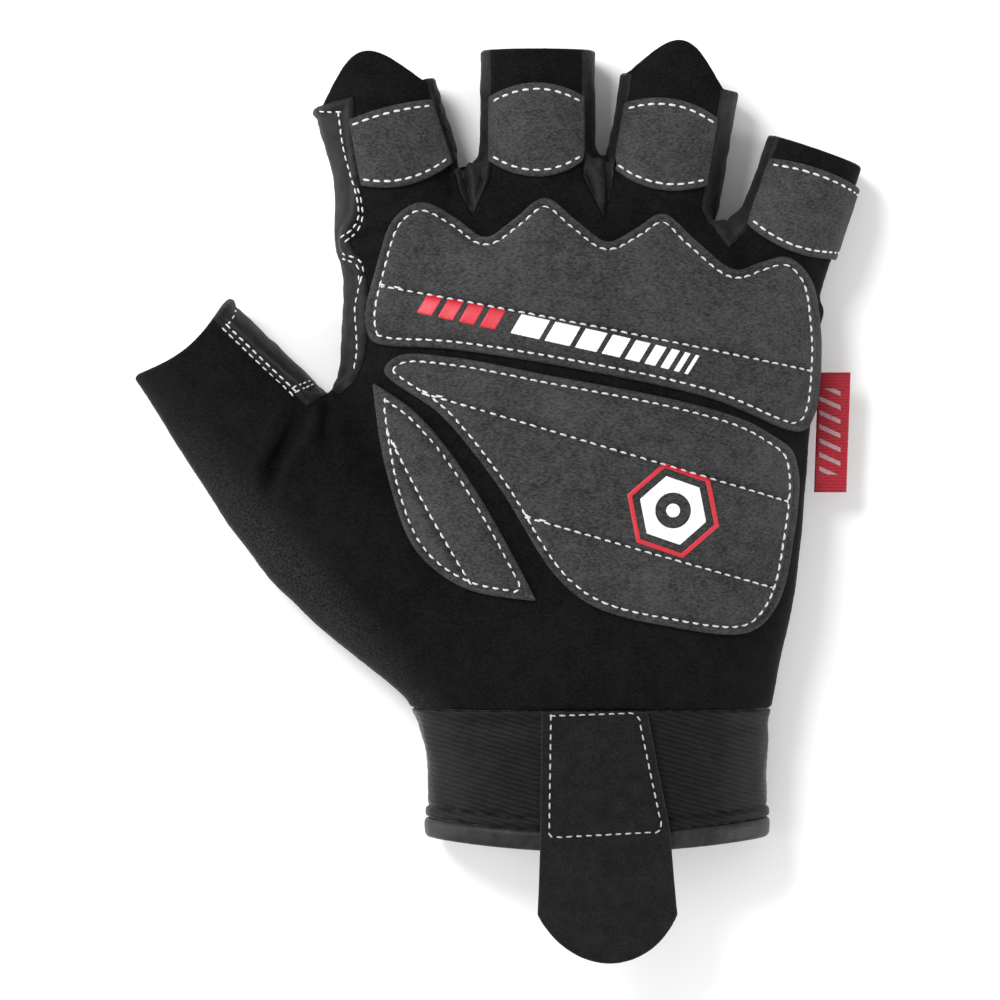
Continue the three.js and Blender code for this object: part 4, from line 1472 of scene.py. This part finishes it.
        def palm(at: Array) -> Array:
            """How deep places lie inside the palm cloth."""
            depth = np.minimum(at[:, 2] - equator, open_rims(at))
            past = past_rims(at)
            for zone in zones.values():
                depth = np.minimum(depth, np.maximum(-zone(at), past))
            return depth - self.gap

        def back(at: Array) -> Array:
            """How deep places lie inside the back cloth."""
            depth = np.minimum(equator - at[:, 2], flat_rims(at))
            for zone in zones.values():
                depth = np.minimum(depth, np.maximum(-zone(at), self.gusset_foot - at[:, 2]))
            return depth - self.gap

        pieces = {}
        piece, depth = skin.cut(palm, (0.95, 0.38))
        pucker = np.exp(-depth / self.pucker) * ripple(piece.at, size=2.4, seed=21)
        groove = self.turn * rounded(depth, self.turn) * self.seam_share(piece.at)
        lift = 0.12 * ripple(piece.at, size=15, seed=3) - 0.12 + 0.14 * pucker - groove
        for crease in self.creases:
            lift -= crease.press(piece.at, self.form)
        inner = np.minimum(lift - self.thinnest, -self.cloth)
        pieces["palm_panel"] = closed_sheet("palm_cloth", piece, lift, inner)
        piece, depth = skin.cut(back, (1.6,))
        lift = -self.turn * rounded(depth, self.turn) * self.seam_share(piece.at)
        inner = np.minimum(lift - self.thinnest, -self.cloth)
        pieces["back_panel"] = closed_sheet("back_cloth", piece, lift, inner)
        for name, zone in zones.items():

            def side(at: Array, zone: Region = zone) -> Array:
                """How deep places lie inside this gusset or strip."""
                return np.minimum(np.minimum(zone(at), at[:, 2] - self.gusset_foot), flat_rims(at)) - self.gap

            piece, depth = skin.cut(side, (5.0, 1.2))
            share = self.seam_share(piece.at)
            lift = -0.6 * rounded(depth, 0.8) * share + 0.16 * ripple(piece.at, size=5, seed=5)
            lift += 0.15 * np.exp(-depth / self.pucker) * ripple(piece.at, size=2.2, seed=17)
            if "strip" in name:
                roll = 0.45 * hump(depth - 1.1, 0.8)
                roll -= 0.3 * hump(depth - 2.6, 0.5)
                lift += roll * share
            else:
                for tuck in self.tucks:
                    lift -= tuck.press(piece.at, self.form)
                lift = np.minimum(lift, 0.5)
            inner = np.minimum(lift - self.thinnest, -self.cloth)
            pieces[name] = closed_sheet(name.replace("side_", "") + "_cloth", piece, lift, inner)
        for name, obj in pieces.items():
            kind = {"palm_panel": "palm", "back_panel": "back"}.get(name, "gusset")
            obj.data.materials.append(cloth[kind])
        return pieces


@dataclass
class PalmPad:
    """A foam pad sewn to the palm, with a flat flange and sewn channels."""

    form: HandForm
    name: str
    node: str
    shares: tuple
    channels: tuple
    seat: float = 0.2
    flange: float = 1.0
    flange_width: float = 1.75
    crown: float = 1.9
    edge: float = 0.55
    # How far in from a seam the foam reaches its full height, at the flange and beside a channel.
    swell_width: float = 5.5
    channel_swell: float = 3.6
    # How deep and how wide the thread pulls the suede in.
    dip: float = 0.3
    flange_dip: float = 0.55
    channel_dip: float = 0.5
    skin: Surface | None = None

    def outline(self) -> Array:
        """The pad's outline in plan."""
        return self.form.outline(self.shares, step=0.7)

    def channel_lines(self) -> list[Array]:
        """The sewn channels in plan, cut off at the flange."""
        border = inset(self.outline(), self.flange_width)
        lines = []
        for channel in self.channels:
            line = self.form.outline(channel, closed=False, step=0.5)
            lines.append(line[inside(line, border) > -0.3])
        return lines

    def build(self, suede: Material) -> Piece:
        """Make the pad.

        Args:
            suede: its finish.

        Returns:
            The pad.
        """
        outline = self.outline()
        lines = self.channel_lines()
        piece, _ = self.form.skin.cut(self.form.upper(outline), (2.6, 1.0))
        for line in lines:
            piece = piece.refined(to_line(piece.at[:, :2], line)[0] < 1.8)
        depth = np.maximum(inside(piece.at[:, :2], outline, 20.0), 0)
        past = np.maximum(depth - self.flange_width, 0)
        swell = risen(past, self.swell_width)
        dip = hump(depth - self.flange_width, self.flange_dip)
        for line in lines:
            gap, _ = to_line(piece.at[:, :2], line)
            swell *= 0.25 + 0.75 * risen(gap, self.channel_swell)
            dip = np.maximum(dip, hump(gap, self.channel_dip))
        lift = self.seat + self.flange - self.edge * rounded(depth, self.edge) + self.crown * swell
        lift -= self.dip * dip
        lift += 0.08 * ripple(piece.at, size=6, seed=9) + 0.12 * ripple(piece.at, size=17, seed=4) * swell
        pad = closed_sheet(self.name, piece, lift, np.full(len(depth), self.seat * 0.5))
        pad.data.materials.append(suede)
        self.skin = Surface(piece.at + piece.up * lift[:, None], piece.up, piece.tris)
        return pad

    def rows(self) -> list[tuple[Array, bool]]:
        """The pad's rows of stitches: round its flange, and along its channels."""
        lines = self.channel_lines()
        tacks = [(even(line, 0.5)[:9] + [0.0, 0.45], False) for line in lines]
        return [(inset(self.outline(), self.flange_width), True)] + [(line, False) for line in lines] + tacks


@dataclass
class FingerPatch:
    """A reinforcing patch across a finger's front."""

    form: HandForm
    finger: str
    low: float
    high: float
    bow_low: float
    bow_high: float
    thick: float = 0.9
    seat: float = 0.2
    rim: float = 0.5
    swell: float = 0.35
    stitch_inset: float = 1.4
    # How far it stays off the finger's seams, how much more on the index finger, and how far it wraps
    # round a side that has no gusset.
    seam_gap: float = 0.2
    index_gap: float = 1.3
    wrap: float = 1.8

    def edge(self, top: bool, inward: float = 0.0) -> Array:
        """The patch's lower or upper edge in plan, left to right."""
        finger = self.form.fingers[self.finger]
        share = np.linspace(-1, 1, 25)
        level, bow = (self.high, self.bow_high) if top else (self.low, -self.bow_low)
        q = (level + bow * (1 - share**2)) * finger.reach + (-inward if top else inward)
        left = finger.seam(-1, q) + (self.index_gap if finger.name == "index" else self.seam_gap)
        right = finger.seam(1, q) - self.seam_gap if finger.right else finger.half(q) + self.wrap
        return finger.place(left + (right - left) * (share + 1) / 2, q)

    def build(self, suede: Material) -> Piece:
        """Make the patch.

        Args:
            suede: its finish.

        Returns:
            The patch.
        """
        outline = even(np.vstack([self.edge(False), self.edge(True)[::-1], self.edge(False)[:1]]), 0.6)[:-1]
        piece, depth = self.form.skin.cut(self.form.upper(outline), (2.0, 0.8))
        lift = self.seat + self.thick - self.rim * rounded(depth, self.rim)
        lift += self.swell * soft(depth, 1.2, 5.0) + 0.06 * ripple(piece.at, size=5, seed=8)
        inner = np.full(len(depth), self.seat * 0.5)
        patch = closed_sheet("patch_" + self.finger + "_suede", piece, lift, inner)
        patch.data.materials.append(suede)
        return patch


@dataclass
class Cuff:
    """The elastic round the wrist and the binding round its edge."""

    form: HandForm
    length: float = 26.2
    bow: float = 4.8
    binding: float = 4.4
    proud: float = 0.8
    cloth: float = 1.4
    # The fold of the elastic above its binding.
    hem: float = 2.7
    hem_proud: float = 0.5
    # The gathering of the elastic under the palm's seam.
    gather: float = 0.45
    gather_below: float = 3.0
    gather_width: float = 2.2

    def level(self, at: Array, distance: float) -> Array:
        """How far places lie above an edge across the wrist."""
        share = np.clip(at[:, 0] / (self.form.palm_width / 2), -1, 1)
        return at[:, 1] + distance + self.bow * np.cos(share * math.pi / 2)

    def build(self, elastic: Material, tape: Material) -> dict[str, Piece]:
        """Make the band and its binding.

        Args:
            elastic: the band's finish.
            tape: the binding's finish.

        Returns:
            The two pieces by their node names.
        """
        top = self.length - self.binding
        skin = self.form.skin
        piece, depth = skin.cut(lambda at: np.minimum(-at[:, 1], self.level(at, top)) - 0.1, (3.6, 0.8))
        above = self.level(piece.at, top)
        hem = self.hem_proud * (1 - soft(above, self.hem - 0.8, self.hem))
        hem -= 0.3 * hump(above - self.hem, 0.4)
        gather = self.gather * hump(piece.at[:, 1] + self.gather_below, self.gather_width)
        lift = hem - 0.7 * rounded(depth, 0.8) - gather
        ribs = ripple(piece.at * [0.35, 1.6, 1.0], size=3, seed=15)
        lift += 0.14 * ripple(piece.at, size=11, seed=6) + 0.06 * ribs
        band = closed_sheet("cuff_elastic_band", piece, lift, np.full(len(depth), -self.cloth))
        band.data.materials.append(elastic)
        piece, depth = skin.cut(
            lambda at: np.minimum(-self.level(at, top), self.level(at, self.length)) - 0.1, (2.4, 1.2)
        )
        bulge = self.proud * (1 - rounded(depth, 1.3)) + 0.04 * ripple(piece.at, size=4, seed=2)
        bound = closed_sheet("cuff_binding_tape", piece, bulge, -self.cloth - bulge)
        bound.data.materials.append(tape)
        return {"cuff_band": band, "cuff_binding": bound}


@dataclass
class Closure:
    """The closure tab sewn over the cuff, and its free tongue."""

    form: HandForm
    left: float = -11.9
    right: float = 11.03
    thick: float = 1.5
    # How far the tab lies off the elastic at its top, and how much further it lifts below it.
    seat: float = 0.35
    lifts: float = 0.8
    # Where the tab crosses the binding, left and right.
    crossing: tuple = ((-12.0, -26.2), (15.8, -26.2))
    top: float = -0.4
    # The free end's outline in plan, right to left.
    tongue: tuple = (
        (17.2, -44.0),
        (15.9, -46.6),
        (12.6, -51.0),
        (8.0, -54.0),
        (2.6, -55.0),
        (-3.2, -53.6),
        (-8.0, -50.2),
        (-11.2, -46.2),
        (-12.4, -44.0),
    )

    # The stitches round the part that is sewn down, in plan.
    sewn: tuple = ((-9.9, -1.1), (9.0, -0.5), (14.4, -26.3), (-10.3, -27.6), (-9.9, -1.1))

    def outline(self) -> Array:
        """The tab's outline in plan."""
        end = spline(np.array(self.tongue), False, 0.6)
        corners = [(self.left, self.top), (self.right, self.top), self.crossing[1]]
        line = np.vstack([corners, end, self.crossing[:1], corners[:1]])
        return even(line, 0.6)[:-1]

    def build(self, felt: Material) -> Piece:
        """Make the tab.

        Args:
            felt: its finish.

        Returns:
            The tab.
        """
        outline = self.outline()
        piece, depth = self.form.skin.cut(self.form.upper(outline), (2.0, 0.8))
        y = piece.at[:, 1]
        seat = self.seat + self.lifts * soft(-y, 9.0, 22.0)
        wave = 0.1 * ripple(piece.at, size=9, seed=12)
        lift = seat + self.thick - 0.55 * rounded(depth, 0.6) + wave
        tab = closed_sheet("closure_tab_felt", piece, lift, seat + np.minimum(wave, 0))
        tab.data.materials.append(felt)
        return tab

    def rows(self) -> list[tuple[Array, bool]]:
        """The tab's rows of stitches."""
        return [(np.array(self.sewn), False)]


@dataclass
class SideLabel:
    """The folded red label in the side seam."""

    form: HandForm
    top: float = 0.62
    width: float = 7.6
    length: float = 26.5
    cloth: float = 0.3
    # How far its ends lie in the seam, how far it leans, half its thickness, and how much it waves.
    tucked: float = 0.4
    lean: float = 0.9
    half_thick: float = 0.42
    wave: float = 0.35

    def build(self, satin: Material) -> Piece:
        """Make the label: a ribbon folded in two, its ends in the seam.

        Args:
            satin: its finish.

        Returns:
            The label.
        """
        rows = np.array(self.form.palm_rows)
        seam = float(np.interp(self.top, rows[:, 0], rows[:, 2])) * self.form.palm_width
        top = self.top * self.form.palm_length
        across, along = 32, 40
        turn = np.linspace(-0.97 * math.pi, 0.97 * math.pi, across)
        share = np.linspace(0, 1, along + 1)[:, None]
        out = (1 + np.cos(turn)) / 2
        gap = np.abs(np.sin(turn)) ** 0.6 * np.sign(np.sin(turn)) * (1.15 - 0.5 * out)
        layers = []
        for cloth in (0.0, self.cloth):
            x = seam + self.tucked - self.lean * share + (self.width - self.tucked - cloth * out) * out
            wave = self.wave * np.sin(share * 5.1 + 0.6) * out
            z = self.form.drop + (self.half_thick - 0.8 * cloth) * gap + wave
            y = top - self.length * share + 0 * out
            layers.append(np.stack([x, y, z], axis=-1).reshape(-1, 3))
        corners = np.arange((along + 1) * across).reshape(along + 1, across)
        ring = np.concatenate([corners[0, :-1], corners[:-1, -1], corners[-1, :0:-1], corners[:0:-1, 0]])
        outer = np.stack([corners[:-1, :-1], corners[1:, :-1], corners[1:, 1:], corners[:-1, 1:]], axis=-1)
        outer = outer.reshape(-1, 4)
        count = corners.size
        nearer = np.stack([ring, np.roll(ring, -1), np.roll(ring, -1) + count, ring + count], axis=1)
        faces = outer.tolist() + (outer[:, ::-1] + count).tolist() + nearer.tolist()
        label = make_object("side_label_satin", np.vstack(layers), faces, sharp=60)
        label.data.materials.append(satin)
        return label


# The palm pads: node, then outline and sewn channels in shares of the palm.
PADS = (
    (
        "pad_knuckles",
        (
            (-0.466, 0.677), (-0.478, 0.718), (-0.457, 0.81), (-0.421, 0.9), (-0.367, 0.93), (-0.295, 0.902),
            (-0.23, 0.865), (-0.17, 0.898), (-0.107, 0.937), (-0.038, 0.893), (0.023, 0.856), (0.082, 0.88),
            (0.14, 0.909), (0.203, 0.862), (0.289, 0.805), (0.344, 0.819), (0.4, 0.83), (0.446, 0.792),
            (0.466, 0.7), (0.466, 0.61), (0.455, 0.545), (0.43, 0.512), (0.396, 0.514), (0.241, 0.569),
            (-0.031, 0.622), (-0.304, 0.66), (-0.44, 0.668),
        ),
        (((-0.5, 0.785), (0.0, 0.7), (0.5, 0.612)),),
    ),
    (
        "pad_heel",
        (
            (-0.439, 0.62), (-0.411, 0.648), (-0.3, 0.645), (-0.101, 0.612), (0.172, 0.565), (0.308, 0.53),
            (0.376, 0.497), (0.406, 0.476), (0.42, 0.43), (0.408, 0.313), (0.375, 0.195), (0.318, 0.143),
            (0.14, 0.155), (-0.006, 0.19), (-0.086, 0.247), (-0.203, 0.409), (-0.321, 0.538),
        ),
        (((-0.4, 0.59), (0.0, 0.485), (0.46, 0.365)), ((-0.2, 0.366), (0.1, 0.29), (0.42, 0.21))),
    ),
    (
        "pad_thumb",
        (
            (-0.463, 0.598), (-0.463, 0.598), (-0.379, 0.547), (-0.3, 0.467), (-0.216, 0.352), (-0.124, 0.2),
            (-0.124, 0.2), (-0.27, 0.222), (-0.373, 0.289), (-0.43, 0.412),
        ),
        (((-0.448, 0.53), (-0.34, 0.35), (-0.232, 0.19)),),
    ),
)
# The finger patches: finger, lower and upper edge in shares of its reach, and how far each bows out.
PATCHES = (
    ("index", 0.36, 0.84, 0.08, 0.02),
    ("middle", 0.22, 0.67, 0.11, 0.09),
    ("ring", 0.29, 0.78, 0.09, 0.08),
    ("little", 0.2, 0.8, 0.1, 0.04),
)


@dataclass
class PalmPrint:
    """Plain printed shapes: slanting bars along the knuckle pad, and a six-sided badge on the heel pad."""

    form: HandForm
    band: tuple = ((-0.422, 0.7556), (-0.362, 0.744), (-0.15, 0.703), (0.1, 0.653), (0.372, 0.592))
    start: float = 6.45
    height: float = 4.6
    slant: float = 0.32
    red_bars: tuple = ((0.0, 3.4), (4.7, 8.1), (9.4, 12.8), (14.1, 17.5))
    white_bars: tuple = (
        (21.0, 27.4),
        (28.6, 34.2),
        (35.4, 40.2),
        (41.4, 45.4),
        (46.6, 49.8),
        (51.0, 53.4),
        (54.6, 56.4),
        (57.6, 58.8),
        (60.0, 60.8),
    )
    badge: tuple[float, float] = (0.159, 0.365)
    badge_radius: float = 10.6
    badge_line: float = 0.95
    # How much wider the rim is at its corners than along its sides.
    badge_corner: float = 1.155
    badge_turn: float = -19.0
    nut_size: float = 6.6
    nut_hole: float = 3.9
    nut_dot: float = 1.5
    ink: float = 0.13

    def bars(self, spans: Sequence[tuple[float, float]]) -> Region:
        """How deep places lie inside the slanting bars between these distances along the band."""
        path = self.form.outline(self.band, closed=False, step=0.5)
        along = np.concatenate([[0.0], np.cumsum(np.linalg.norm(np.diff(path, axis=0), axis=1))])

        def depth(at: Array) -> Array:
            """Measure the places."""
            slope = np.interp(at[:, 0], path[:, 0], np.gradient(path[:, 1], path[:, 0]))
            rise = at[:, 1] - np.interp(at[:, 0], path[:, 0], path[:, 1], -FAR, -FAR)
            rise /= np.sqrt(1 + slope**2)
            run = np.interp(at[:, 0], path[:, 0], along) - self.start + rise * slope - rise * self.slant
            out = np.full(len(at), -FAR)
            for start, end in spans:
                out = np.maximum(out, np.minimum(run - start, end - run))
            return np.minimum(out, self.height / 2 - np.abs(rise))

        return depth

    def ring(self) -> Region:
        """How deep places lie inside the badge's six-sided rim."""
        middle = np.array(self.form.plan(*self.badge))
        turns = np.radians(np.arange(6) * 60 + self.badge_turn)
        ways = np.stack([np.cos(turns), np.sin(turns)], axis=1)
        outer = middle + self.badge_radius * ways
        inner = middle + (self.badge_radius - self.badge_line * self.badge_corner) * ways
        return lambda at: np.minimum(inside(at[:, :2], outer, 4.0), -inside(at[:, :2], inner, 30.0))

    def nut(self) -> Region:
        """How deep places lie inside the six-sided nut in the badge."""
        dx, dy = self.form.plan(*self.badge)

        def depth(at: Array) -> Array:
            """Measure the places."""
            turn = np.arctan2(at[:, 1] - dy, at[:, 0] - dx) - math.radians(self.badge_turn)
            gap = np.hypot(at[:, 0] - dx, at[:, 1] - dy)
            flat = gap * np.cos((turn % (math.pi / 3)) - math.pi / 6)
            return np.maximum(np.minimum(self.nut_size - flat, gap - self.nut_hole), self.nut_dot - gap)

        return depth

    def build(self, knuckles: Surface, heel: Surface, red: Material, white: Material) -> list[Piece]:
        """Print the shapes.

        Args:
            knuckles: the knuckle pad's outer face.
            heel: the heel pad's outer face.
            red: the red ink.
            white: the white ink.

        Returns:
            The four prints.
        """
        prints = []
        for name, skin, region, ink in (
            ("print_bars_red", knuckles, self.bars(self.red_bars), red),
            ("print_bars_white", knuckles, self.bars(self.white_bars), white),
            ("print_badge_rim", heel, self.ring(), red),
            ("print_badge_nut", heel, self.nut(), white),
        ):
            piece, depth = skin.cut(region, (0.9, 0.45))
            lift = self.ink - 0.08 * rounded(depth, 0.15)
            printed = closed_sheet(name, piece, lift, np.full(len(depth), -0.08))
            printed.data.materials.append(ink)
            prints.append(printed)
        return prints


@dataclass(frozen=True)
class Cut:
    """The flat cloth of a sheet: sides in millimetres, area in square centimetres, and how it lies."""

    width: float
    length: float
    area: float
    hold: Hold
    on: tuple[str, ...] = ()


CUTS = {
    "palm_panel": Cut(172.0, 160.0, 172.0, Hold.LAID),
    "back_panel": Cut(166.0, 152.0, 164.0, Hold.LAID),
    "gusset_index_middle": Cut(34.0, 38.0, 9.6, Hold.FOLDED),
    "gusset_middle_ring": Cut(34.0, 39.0, 9.3, Hold.FOLDED),
    "gusset_ring_little": Cut(34.0, 37.0, 9.0, Hold.FOLDED),
    "index_side_strip": Cut(66.0, 22.0, 11.7, Hold.LAID),
    "thumb_side_strip": Cut(34.0, 22.0, 6.2, Hold.LAID),
    "patch_index": Cut(23.0, 20.0, 3.7, Hold.LAID, ("palm_cloth",)),
    "patch_middle": Cut(22.0, 21.5, 4.4, Hold.LAID, ("palm_cloth",)),
    "patch_ring": Cut(23.0, 21.0, 4.3, Hold.LAID, ("palm_cloth",)),
    "patch_little": Cut(28.0, 22.5, 5.3, Hold.LAID, ("palm_cloth",)),
    "cuff_band": Cut(190.0, 26.5, 46.5, Hold.STRETCHED),
    "closure_tab": Cut(31.0, 56.0, 15.3, Hold.LAID, ("cuff_elastic_band",)),
    "side_label": Cut(15.2, 26.5, 4.02, Hold.FOLDED),
}


@dataclass
class Glove:
    """The whole glove, sub-assembly by sub-assembly."""

    form: HandForm = field(default_factory=HandForm)

    def settle(self, piece: Piece, node: str | None = None) -> None:
        """Fix a piece to the glove, hide the solid that it stands for, and log its faces and area.

        Args:
            piece: the piece.
            node: the solid that it stands for.
        """
        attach(piece, "root")
        if node:
            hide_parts(node)
        side = sum(f.area for f in piece.data.polygons) / 2 * 1e4
        if node in CUTS:
            cut = CUTS[node]
            list(cut.on)
        log.info("%s: %d faces, %.2f square centimetres a side", piece.name, len(piece.data.polygons), side)

    def build(self) -> None:
        """Build every piece."""
        self.form.build()
        suede = Suede("charcoal_suede", dark=0.0125, light=0.055, nap=0.42, sheen=0.05, spread=0.15).make()
        thread = Thread("white_thread", level=0.62).make()
        dull = Thread("dull_thread", level=0.4).make()
        cloth = {
            "palm": Suede(
                "black_suede",
                dark=0.002,
                light=0.007,
                mottle=4.0,
                nap=0.4,
                sheen=0.1,
                fuzz=0.06,
                sheen_rough=0.22,
                gloss=0.06,
                # Painted sheen of lighter nap along the palm cloth's left edge.
                painted_edge_sheen=0.024,
            ).make(),
            "back": Knit("black_stretch", dark=0.004, light=0.008).make(),
            "gusset": Knit("charcoal_stretch", dark=0.006, light=0.013, rib=0.3).make(),
        }
        shell = Shell(self.form)
        pieces = shell.build(cloth)
        for node, piece in pieces.items():
            slot = {"palm_panel": "palm_cloth", "back_panel": "back_cloth"}.get(node, "gusset_cloth")
            self.settle(piece, node)
        sewn = Stitching("strip_stitches", pitch=1.95, length=1.4, thickness=0.42, bow=0.15)
        ground = Ground([pieces["palm_panel"], pieces["index_side_strip"], pieces["thumb_side_strip"]])
        for row in shell.rows():
            sewn.lay(row, ground)
        self.settle(sewn.sew(thread))
        sewn = Stitching("pad_stitches")
        faces = {}
        for name, shares, channels in PADS:
            pad = PalmPad(self.form, name + "_suede", name, shares, channels)
            piece = pad.build(suede)
            faces[name] = pad.skin
            self.settle(piece, name)
            ground = Ground([piece])
            for path, closed in pad.rows():
                sewn.lay(path, ground, closed)
        self.settle(sewn.sew(thread))
        red = Ink("red_ink", (0.5, 0.01, 0.025)).make()
        white = Ink("white_ink", (0.75, 0.75, 0.75)).make()
        for printed in PalmPrint(self.form).build(faces["pad_knuckles"], faces["pad_heel"], red, white):
            self.settle(printed)
        sewn = Stitching("patch_stitches")
        for row in PATCHES:
            patch = FingerPatch(self.form, *row)
            piece = patch.build(suede)
            self.settle(piece, "patch_" + row[0])
            ground = Ground([piece])
            for top in (False, True):
                sewn.lay(patch.edge(top, patch.stitch_inset)[1:-1], ground)
        self.settle(sewn.sew(thread))
        elastic = Elastic("ribbed_elastic", dark=0.003, light=0.0095).make()
        tape = Knit("binding_tape", dark=0.013, light=0.024, rib=0.25, rough=0.5).make()
        cuff = Cuff(self.form).build(elastic, tape)
        self.settle(cuff["cuff_binding"], "cuff_binding")
        self.settle(cuff["cuff_band"], "cuff_band")
        closure = Closure(self.form)
        tab = closure.build(Felt("black_felt", dark=0.004, light=0.0155).make())
        self.settle(tab, "closure_tab")
        sewn = Stitching("closure_stitches", pitch=2.1, length=1.4, thickness=0.38, bow=0.12)
        for path, closed in closure.rows():
            sewn.lay(path, Ground([tab]), closed)
        self.settle(sewn.sew(dull))
        label = SideLabel(self.form).build(Satin("red_satin", (0.33, 0.009, 0.022)).make())
        self.settle(label, "side_label")


def main() -> None:
    """Build the studio and the glove, and log each piece's faces and area."""
    logging.basicConfig(level=logging.INFO, format="%(message)s")
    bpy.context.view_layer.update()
    Studio().build()
    Glove().build()


if __name__ == "__main__":
    main()
